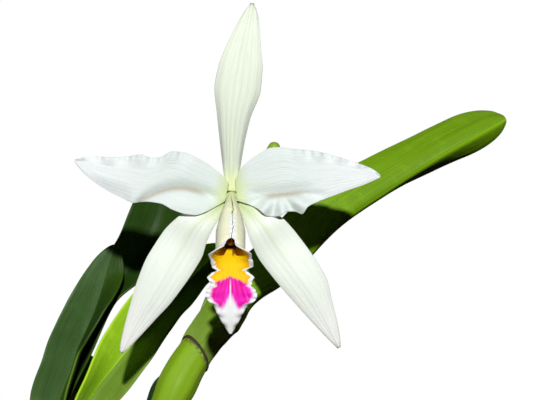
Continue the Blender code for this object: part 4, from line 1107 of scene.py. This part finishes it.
class OrchidPlantSettings(bpy.types.PropertyGroup):
    leaf_thickness: measure("Leaf thickness", "Wall of the leaves", 0.0018)
    sheath_thickness: measure("Sheath thickness", "Wall of the dry sheaths", 0.0005)
    bright_colour: swatch("Bright leaf", "Young and sunlit leaf", 0.175, 0.350, 0.006)
    # Painted light and shade: the middle leaf's left half gets a lit copy of its green and its right half a
    # shaded copy
    lit_half_colour: swatch("Lit leaf half", "Leaf half painted as lit", 0.350, 0.640, 0.018)
    shaded_half_colour: swatch("Shaded leaf half", "Leaf half painted as shaded", 0.170, 0.290, 0.030)
    deep_colour: swatch("Deep leaf", "Shaded and old leaf", 0.034, 0.095, 0.008)
    blue_colour: swatch("Blue-green leaf", "Waxy leaf half", 0.055, 0.122, 0.030)
    # Painted light: the left leaf's right half faces away from the lamp, so this green is brighter than its
    # lit half to stand in for light
    olive_colour: swatch("Olive leaf", "Half that faces away from the light", 0.080, 0.170, 0.010)
    leaf_foot_colour: swatch("Leaf foot", "Pale foot of the leaves", 0.340, 0.500, 0.100)
    bulb_colour: swatch("Pseudobulb", "Young pseudobulb", 0.250, 0.440, 0.012)
    bulb_low_colour: swatch("Pseudobulb foot", "Duller foot and furrows", 0.170, 0.330, 0.025)
    # Painted shade: the short bulb stands in shade behind the front bulb and is coloured near-black green
    # for it
    short_bulb_shade_colour: swatch("Short bulb", "Small bulb painted dark as shade", 0.016, 0.046, 0.006)
    bulb_old_colour: swatch("Old bulb", "Leafless old bulb", 0.190, 0.130, 0.040)
    bulb_speck_colour: swatch("Bulb specks", "Pale dots on the bulbs", 0.320, 0.460, 0.070)
    dry_colour: swatch("Dry sheath", "Papery sheath", 0.350, 0.290, 0.200)
    dry_dark_colour: swatch("Sheath stain", "Stains and fibres", 0.100, 0.075, 0.050)
    rim_colour: swatch("Bulb rim", "Dried rim of the front bulb", 0.120, 0.085, 0.055)
    rim_dark_colour: swatch("Bulb rim stain", "Dark part of the rim", 0.030, 0.020, 0.012)
    stem_colour: swatch("Stem", "Flower stem and sheath", 0.230, 0.400, 0.080)
    stem_flush: swatch("Stem flush", "Second colour of the stem", 0.360, 0.480, 0.150)
    bud_colour: swatch("Bud", "Unopened bud", 0.210, 0.370, 0.014)
    bud_flush: swatch("Bud flush", "Paler stripes of the bud", 0.340, 0.480, 0.040)
    root_colour: swatch("Root", "Dry root skin", 0.520, 0.520, 0.420)
    root_green: swatch("Root green", "Where the root skin is thin", 0.300, 0.380, 0.170)


class OrchidPotSettings(bpy.types.PropertyGroup):
    clay_colour: swatch("Clay", "Fired clay", 0.480, 0.180, 0.085)
    clay_dark: swatch("Damp clay", "Clouds and damp foot", 0.330, 0.110, 0.050)
    clay_bloom: swatch("Mineral bloom", "Pale salts and sand", 0.660, 0.500, 0.400)
    bark_pale: swatch("Pale bark", "Lightest chips", 0.270, 0.150, 0.080)
    bark_dark: swatch("Dark bark", "Darkest chips and fibres", 0.060, 0.030, 0.018)
    bark_red: swatch("Red bark", "Inner side of the bark", 0.230, 0.090, 0.045)
    chip_count: bpy.props.IntProperty(
        name="Chips", description="How many chips lie on top", default=230, min=0, max=400
    )
    chip_length: measure("Chip length", "Usual length of a chip", 0.0125)


class OrchidStageSettings(bpy.types.PropertyGroup):
    floor_colour: swatch("Floor", "Plain pale floor", 0.88, 0.88, 0.87)
    floor_radius: measure("Floor radius", "Where the floor has faded out", 1.7)
    key_power: amount("Key light", "Power of the main light", 25.0, "POWER")
    key_size: measure("Key size", "Side of the main light", 0.05)
    fill_power: amount("Fill light", "Power of the side and back lights", 3.5, "POWER")
    ambient: amount("Ambient", "Strength of the light from all round", 0.006)


# Operators


class ORCHID_OT_leaves(bpy.types.Operator):
    """Build the four strap leaves"""

    bl_idname = "orchid.leaves"
    bl_label = "Leaves"

    def execute(self, context):
        settings = context.scene.orchid_plant
        bright, deep = settings.bright_colour, settings.deep_colour
        # Painted light and shade: the right leaf's right half gets a brighter copy of its green to stand in
        # for light, and a darker copy is painted shade
        pale, painted_shade, dim = toned(bright, 1.6), toned(deep, 0.6), toned(deep, 0.65)
        # Each leaf: its left and right half's greens as painted light and shade, the painted shade on the
        # right half's outer part, and gloss
        sides = {
            "right": (bright, pale, pale, 0.45),
            "middle": (settings.lit_half_colour, settings.shaded_half_colour, painted_shade, 0.5),
            "left": (settings.blue_colour, settings.olive_colour, painted_shade, 0.42),
            "upper": (dim, dim, dim, 0.45),
        }
        for seed, (name, (left, right, far_right_shade, gloss)) in enumerate(sides.items()):
            place = leaf_place(with_distance(LEAVES[name]), seed * 5.0)
            leaf = build_sheet(f"leaf_{name}_blade", "leaf", place, settings.leaf_thickness)
            foot = settings.leaf_foot_colour
            green = paint_leaf(f"leaf_{name}_green", left, right, far_right_shade, foot, gloss)
            finish_piece(leaf, "leaf", green, f"leaf_{name}")
        return {"FINISHED"}


class ORCHID_OT_pseudobulbs(bpy.types.Operator):
    """Build the swollen stems that carry the leaves"""

    bl_idname = "orchid.pseudobulbs"
    bl_label = "Pseudobulbs"

    def execute(self, context):
        settings = context.scene.orchid_plant
        young, low, small = settings.bulb_colour, settings.bulb_low_colour, settings.short_bulb_shade_colour
        worn = settings.dry_dark_colour
        green = paint_bulb("pseudobulb_green", young, low, settings.bulb_speck_colour, worn)
        skins = {
            # The short bulb's skin is painted dark as shade
            "short": paint_bulb("pseudobulb_painted_shade", small, small, settings.deep_colour, worn),
            "old": paint_bulb("pseudobulb_brown", settings.bulb_old_colour, worn, low, worn, 0.7),
        }
        for number, name in enumerate(PSEUDOBULBS):
            shrivel = 0.05 if name in skins else 0.018

            def furrows(along, angle):
                depth = shrivel * hump(along, 0.1, 0.5, 0.93, 1.0)
                return depth * math.cos(9 * angle + number + 1.5 * grain(along * 3, number)) - depth

            radius_at = functools.partial(bulb_radius, name)
            slant_at = front_slant if name == "front" else None
            rows = bulb_rows(name)
            bulb = lay_tube(f"pseudobulb_{name}_skin", "bulb", rows, radius_at, furrows, slant_at)
            finish_piece(bulb, "pseudobulb", skins.get(name, green), f"pseudobulb_{name}")
        return {"FINISHED"}


class ORCHID_OT_sheaths(bpy.types.Operator):
    """Build the dry papery sheaths and the collar below the front leaf"""

    bl_idname = "orchid.sheaths"
    bl_label = "Dry sheaths"

    def execute(self, context):
        settings = context.scene.orchid_plant
        dry = paint_dry("dry_sheath_paper", settings.dry_colour, settings.dry_dark_colour)
        rim = paint_dry("collar_paper", settings.rim_colour, settings.rim_dark_colour)
        wall = settings.sheath_thickness
        for seed, node in enumerate(SHEATHS):
            place = sheath_place(node, wall / MM, seed * 2.7)
            sheath = build_sheet(f"{node}_paper", "sheath", place, wall)
            finish_piece(sheath, "dry_sheath", dry, node)
        collar = build_sheet("collar_front_paper", "collar", collar_place, wall)
        finish_piece(collar, "dry_sheath", rim, "collar_front")
        return {"FINISHED"}


class ORCHID_OT_stem(bpy.types.Operator):
    """Build the flower stem with the bud's stalk, the green sheath at its foot and the bud"""

    bl_idname = "orchid.stem"
    bl_label = "Flower stem and bud"

    def execute(self, context):
        settings = context.scene.orchid_plant
        green = paint_stem("stem_green", settings.stem_colour, settings.stem_flush)
        rows = with_distance(STEM_PATH, STEM_RADII)
        stem = lay_tube("flower_stem_green", "stem", rows)
        stalk = lay_tube("stalk", "stalk", with_distance(STALK_PATH, STALK_RADII))
        combine(stem, stalk, "UNION")
        finish_piece(stem, "flower_stem", green, "flower_stem")
        self.build_spathe(rows, green)
        self.build_bud(paint_stem("bud_green", settings.bud_colour, settings.bud_flush, 0.5))
        return {"FINISHED"}

    def build_spathe(self, rows, green):
        """The green sheath that the stem grew out of, flattened and split at the back."""
        start, end = SPATHE_SHARE

        def place(along, across):
            share = start + (end - start) * along
            middle, side, away = path_ring(rows, share)
            radius = smooth_value(rows, 4, share) + 0.95
            flat = 1.0 + 0.9 * math.sin(math.pi * min(along * 0.9 + 0.1, 1.0))
            angle = across * SPATHE_WRAP * (1 - 0.45 * along**2)
            sideways = side * math.sin(angle) * radius * flat
            return middle + sideways - away * math.cos(angle) * radius

        spathe = build_sheet("flower_sheath_green", "spathe", place, SPATHE_WALL * MM)
        finish_piece(spathe, "flower_stem", green, "flower_sheath")

    def build_bud(self, skin):
        lean = Vector(BUD_LEAN).normalized()
        start = Vector(STALK_PATH[-1]) + lean * 0.2
        rows = with_distance([start, start + lean * BUD_LENGTH / 2, start + lean * BUD_LENGTH])

        def radius_at(share):
            return BUD_RADIUS * smooth_value(BUD_PROFILE, 1, share)

        def seams(along, angle):
            return -0.10 * bell(math.sin(1.5 * angle + along), 0.16) * ramp(along, 0.05, 0.3)

        bud = lay_tube("flower_bud_green", "bud", rows, radius_at, seams)
        finish_piece(bud, "flower_stem", skin, "flower_bud")


class ORCHID_OT_tepals(bpy.types.Operator):
    """Build the three sepals and the two petals"""

    bl_idname = "orchid.tepals"
    bl_label = "Sepals and petals"

    def execute(self, context):
        settings = context.scene.orchid_flower
        tip = settings.tip_colour
        sepal = paint_tepal(
            "sepal_cream", settings, settings.sepal_colour, settings.sepal_foot_colour, tip,
            foot_end=0.16, tip_start=0.965, vein_share=0.22,
        )
        petal = paint_tepal(
            "petal_white", settings, settings.petal_colour, settings.petal_foot_colour,
            settings.petal_lit_tip_colour, foot_end=0.09, tip_start=0.30, vein_share=0.30,
        )
        dorsal = paint_tepal(
            "sepal_dorsal_cream", settings, settings.dorsal_colour, settings.dorsal_foot_colour, tip,
            foot_end=0.14, tip_start=0.965, vein_share=0.25,
        )
        for node, (_, _, outline, _, _, crease) in TEPALS.items():
            kind, wall, paint = "sepal", settings.sepal_thickness, sepal
            if node.startswith("petal"):
                kind, wall, paint = "petal", settings.petal_thickness, petal
            elif node == "sepal_dorsal":
                paint = dorsal
            creases = {"crease": lambda along, across: crease(*tepal_spot(outline, along, across))}
            tepal = build_sheet(f"{node}_blade", kind, tepal_place(node), wall, creases)
            finish_piece(tepal, kind, paint, node)
        return {"FINISHED"}


class ORCHID_OT_lip(bpy.types.Operator):
    """Build the rolled and frilled lip"""

    bl_idname = "orchid.lip"
    bl_label = "Lip"

    def execute(self, context):
        settings = context.scene.orchid_flower
        linings = [paint_lip(settings, inside) for inside in (False, True)]
        measures = {
            "lip_along": lambda along, across: LIP_LENGTH * along,
            "lip_side": lip_side,
            "lip_edge": lip_edge,
        }
        lip = build_sheet("lip_blade", "lip", lip_place, settings.lip_thickness, measures, linings)
        finish_piece(lip, "lip", None, "lip")
        return {"FINISHED"}


class ORCHID_OT_column(bpy.types.Operator):
    """Build the column inside the lip and the cap at its end"""

    bl_idname = "orchid.column"
    bl_label = "Column"

    def execute(self, context):
        settings = context.scene.orchid_flower
        points = [flower_point(forward, down) for forward, down in COLUMN_LINE]
        rows = with_distance(points, COLUMN_RADII)

        def wings(along, angle):
            return 0.08 * math.cos(2 * angle) * ramp(along, 0.3, 0.6)

        column = lay_tube("column_white", "column", rows, None, wings)
        white = paint_stem("column_white", settings.sepal_foot_colour, settings.lip_foot_colour, 0.6)
        finish_piece(column, "petal", white, "column")

        direction = path_direction(rows, 1.0)
        adder = bpy.ops.mesh.primitive_uv_sphere_add
        cap = add_primitive("anther_cap_cream", adder, segments=32, ring_count=20, radius=CAP_RADIUS * MM)
        cap.scale = (1.0, 1.0, 0.6)
        cap.rotation_euler = direction.to_track_quat("Z", "Y").to_euler()
        cap.location = (points[-1] + direction * (0.6 * CAP_RADIUS + 0.2)) * MM
        apply_place(cap)
        bpy.ops.object.shade_smooth()
        cream = paint_stem("anther_cream", settings.anther_colour, settings.lip_throat_colour, 0.45)
        finish_piece(cap, "sepal", cream, "anther_cap")
        return {"FINISHED"}


class ORCHID_OT_roots(bpy.types.Operator):
    """Build the creeping rhizome and its roots"""

    bl_idname = "orchid.roots"
    bl_label = "Rhizome and roots"

    def execute(self, context):
        def rhizome_radius(share):
            end = min(share, 1 - share) / 0.04
            return RHIZOME_RADIUS * min(1.0, 0.45 + 0.55 * end)

        def scales(along, angle):
            return 0.07 * (along * 22 % 1.0) - 0.03 + 0.04 * grain(along * 30, angle, 2)

        rows = with_distance(RHIZOME_PATH)
        parts = [lay_tube("rhizome_and_roots_skin", "rhizome", rows, rhizome_radius, scales)]
        for number, points in enumerate(ROOTS):

            def knots(along, angle):
                return 0.22 * grain(along * 9, number * 3.1) + 0.06 * grain(along * 40, angle, number)

            rows = with_distance(points, [ROOT_RADIUS * 0.95] * len(points))
            parts.append(lay_tube(f"root_{number}", "root", rows, None, knots))
        join_parts(parts)
        finish_piece(parts[0], "root", paint_root(context.scene.orchid_plant), "rhizome_and_roots")
        return {"FINISHED"}


class ORCHID_OT_pot(bpy.types.Operator):
    """Build the clay pot with its drain holes"""

    bl_idname = "orchid.pot"
    bl_label = "Clay pot"

    def execute(self, context):
        radius, height = POT_PROFILE[0]
        adder = bpy.ops.mesh.primitive_circle_add
        pot = add_primitive("pot_clay", adder, vertices=96, radius=radius * MM, fill_type="NGON")
        edit(pot)
        for next_radius, next_height in POT_PROFILE[1:]:
            rise = (0.0, 0.0, (next_height - height) * MM)
            bpy.ops.mesh.extrude_region_move(TRANSFORM_OT_translate={"value": rise})
            share = next_radius / radius
            bpy.ops.transform.resize(value=(share, share, 1.0))
            radius, height = next_radius, next_height
        bpy.ops.mesh.select_all(action="SELECT")
        bpy.ops.mesh.normals_make_consistent(inside=False)
        leave_edit()
        for i in range(DRAIN_COUNT):
            self.cut_drain(pot, 2 * math.pi * i / DRAIN_COUNT)
        bpy.ops.object.shade_smooth_by_angle(angle=POT_CREASE)
        finish_piece(pot, "clay", paint_clay(context.scene.orchid_pot), "pot")
        return {"FINISHED"}

    def cut_drain(self, pot, angle):
        spot = Vector((math.cos(angle), math.sin(angle), 0.0)) * DRAIN_CIRCLE * MM
        adder = bpy.ops.mesh.primitive_cylinder_add
        drain = add_primitive(
            "drain", adder, vertices=40, radius=DRAIN_RADIUS * MM, depth=DRAIN_DEPTH * MM, location=spot
        )
        combine(pot, drain, "DIFFERENCE")


class ORCHID_OT_bark(bpy.types.Operator):
    """Build the bark mix: a fill and loose chips on top"""

    bl_idname = "orchid.bark"
    bl_label = "Bark mix"

    def execute(self, context):
        settings = context.scene.orchid_pot
        draw = random.Random(BARK_SEED)
        parts = [self.build_fill()]
        templates = [self.build_template(seed) for seed in range(CHIP_TEMPLATES)]
        bulb_spots = [path_point(bulb_rows(name), 0.02).xy for name in PSEUDOBULBS]
        # Turning by the golden angle spreads the chips evenly
        turn = math.pi * (3 - math.sqrt(5))
        for i in range(settings.chip_count):
            reach = BARK_REACH * math.sqrt((i + 0.6) / settings.chip_count)
            spot = Vector((math.cos(i * turn), math.sin(i * turn))) * reach
            size = settings.chip_length * draw.uniform(*CHIP_LENGTHS)
            near = min((spot - bulb).length for bulb in bulb_spots)
            if near >= CHIP_CLEARANCE + size / MM * CHIP_REACH:
                parts.append(self.copy_chip(templates[i % CHIP_TEMPLATES], spot, size, draw))
        for template in templates:
            bpy.data.objects.remove(template)
        join_parts(parts)
        bpy.ops.object.shade_smooth_by_angle(angle=CHIP_CREASE)
        finish_piece(parts[0], "bark", paint_bark(settings), "bark_mix")
        return {"FINISHED"}

    def build_fill(self):
        """The mass of bark below the loose chips, narrower at its foot."""
        adder = bpy.ops.mesh.primitive_cylinder_add
        radius, depth, middle = (length * MM for length in BARK_FILL)
        fill = add_primitive(
            "bark_mix_chips", adder, vertices=64, radius=radius, depth=depth, location=(0.0, 0.0, middle)
        )
        apply_place(fill)
        for face in fill.data.polygons:
            face.select = face.normal.z < -0.9
        bpy.ops.object.mode_set(mode="EDIT")
        bpy.ops.transform.resize(value=(BARK_FILL_TAPER, BARK_FILL_TAPER, 1.0))
        leave_edit()
        self.set_tone(fill, BARK_FILL_TONE)
        return fill

    def build_template(self, seed):
        """One chip: a rough flat block with broken faces."""
        chip = add_primitive(f"chip_template_{seed}", bpy.ops.mesh.primitive_cube_add, size=1.0)
        chip.scale = (1.0, 0.62 + 0.08 * (seed % 3), 0.34 + 0.05 * (seed % 2))
        apply_place(chip)
        edit(chip)
        bpy.ops.mesh.bevel(offset=0.07, segments=1, affect="EDGES")
        bpy.ops.mesh.subdivide(number_cuts=1, fractal=1.1, seed=seed)
        leave_edit()
        return chip

    def copy_chip(self, template, spot, size, draw):
        chip = template.copy()
        chip.data = template.data.copy()
        bpy.context.scene.collection.objects.link(chip)
        tilt = [Matrix.Rotation(draw.uniform(-CHIP_TILT, CHIP_TILT), 4, axis) for axis in "XY"]
        spin = Matrix.Rotation(draw.uniform(0, 2 * math.pi), 4, "Z")
        height = BARK_TOP - CHIP_SUNK + draw.uniform(*CHIP_HEIGHTS)
        where = Matrix.Translation(Vector((spot.x, spot.y, height)) * MM)
        chip.data.transform(where @ spin @ (tilt[0] @ tilt[1]) @ Matrix.Scale(size, 4))
        self.set_tone(chip, draw.random())
        return chip

    def set_tone(self, obj, tone):
        attribute = obj.data.attributes.new("tone", "FLOAT", "POINT")
        attribute.data.foreach_set("value", [tone] * len(obj.data.vertices))


class ORCHID_OT_stage(bpy.types.Operator):
    """Build the pale floor, the studio lights and the camera"""

    bl_idname = "orchid.stage"
    bl_label = "Stage"

    def execute(self, context):
        settings = context.scene.orchid_stage
        adder = bpy.ops.mesh.primitive_circle_add
        radius = settings.floor_radius
        floor = add_primitive("studio_floor", adder, vertices=96, radius=radius, fill_type="NGON")
        floor.location.z = -FLOOR_DROP
        floor.data.materials.append(paint_floor(settings))
        floor.visible_diffuse = False
        floor.visible_glossy = False
        flower = Vector(FLOWER_CENTRE) * MM
        key_place = flower + Vector(KEY_OFFSET)
        self.add_light("key", key_place, flower, settings.key_size, settings.key_power)
        for name, (place, size) in FILL_LIGHTS.items():
            self.add_light(name, Vector(place), Vector(FILL_TARGET), size, settings.fill_power)
        self.set_world(settings.ambient)
        self.add_camera()
        context.scene.view_settings.view_transform = "Standard"
        return {"FINISHED"}

    def add_light(self, name, place, target, size, power):
        bpy.ops.object.light_add(type="AREA", location=place)
        light = bpy.context.object
        light.name = f"light_{name}"
        light.rotation_euler = (target - place).to_track_quat("-Z", "Y").to_euler()
        light.data.size = size
        light.data.energy = power
        light.visible_camera = False

    def set_world(self, ambient):
        """White surroundings that light the plant only softly."""
        world = bpy.data.worlds.new("studio")
        bpy.context.scene.world = world
        world.use_nodes = True
        tree = world.node_tree
        background = tree.nodes["Background"]
        background.inputs["Color"].default_value = (1.0, 1.0, 1.0, 1.0)
        seen = tree.nodes.new("ShaderNodeLightPath")
        strength = tree.nodes.new("ShaderNodeMapRange")
        strength.inputs["To Min"].default_value = ambient
        strength.inputs["To Max"].default_value = 1.0
        tree.links.new(seen.outputs["Is Camera Ray"], strength.inputs["Value"])
        tree.links.new(strength.outputs[0], background.inputs["Strength"])

    def add_camera(self):
        bpy.ops.object.camera_add(location=CAMERA_PLACE, rotation=(math.radians(90), 0.0, 0.0))
        camera = bpy.context.object
        camera.data.lens = CAMERA_LENS
        camera.data.sensor_width = 36.0
        camera.data.clip_start = 0.01
        camera.data.clip_end = 50.0
        bpy.context.scene.camera = camera


class ORCHID_PT_panel(bpy.types.Panel):
    """Lists the orchid's pieces"""

    bl_idname = "ORCHID_PT_panel"
    bl_label = "Cattleya Orchid"
    bl_space_type = "VIEW_3D"
    bl_region_type = "UI"
    bl_category = "Orchid"

    def draw(self, context):
        for operator in OPERATORS:
            self.layout.operator(operator.bl_idname)
        for group in SETTINGS:
            box = self.layout.box()
            box.label(text=group)
            settings = getattr(context.scene, group)
            for key in settings.bl_rna.properties.keys():
                if key not in ("rna_type", "name"):
                    box.prop(settings, key)


OPERATORS = (
    ORCHID_OT_pot,
    ORCHID_OT_bark,
    ORCHID_OT_roots,
    ORCHID_OT_pseudobulbs,
    ORCHID_OT_sheaths,
    ORCHID_OT_leaves,
    ORCHID_OT_stem,
    ORCHID_OT_tepals,
    ORCHID_OT_lip,
    ORCHID_OT_column,
    ORCHID_OT_stage,
)
SETTINGS = {
    "orchid_flower": OrchidFlowerSettings,
    "orchid_plant": OrchidPlantSettings,
    "orchid_pot": OrchidPotSettings,
    "orchid_stage": OrchidStageSettings,
}


def register():
    for name, group in SETTINGS.items():
        bpy.utils.register_class(group)
        setattr(bpy.types.Scene, name, bpy.props.PointerProperty(type=group))
    for operator in OPERATORS:
        bpy.utils.register_class(operator)
    bpy.utils.register_class(ORCHID_PT_panel)


def unregister():
    bpy.utils.unregister_class(ORCHID_PT_panel)
    for operator in reversed(OPERATORS):
        bpy.utils.unregister_class(operator)
    for name, group in SETTINGS.items():
        delattr(bpy.types.Scene, name)
        bpy.utils.unregister_class(group)


def main():
    register()
    bpy.ops.orchid.pot()
    bpy.ops.orchid.bark()
    bpy.ops.orchid.roots()
    bpy.ops.orchid.pseudobulbs()
    bpy.ops.orchid.sheaths()
    bpy.ops.orchid.leaves()
    bpy.ops.orchid.stem()
    bpy.ops.orchid.tepals()
    bpy.ops.orchid.lip()
    bpy.ops.orchid.column()
    bpy.ops.orchid.stage()


if __name__ == "__main__":
    main()
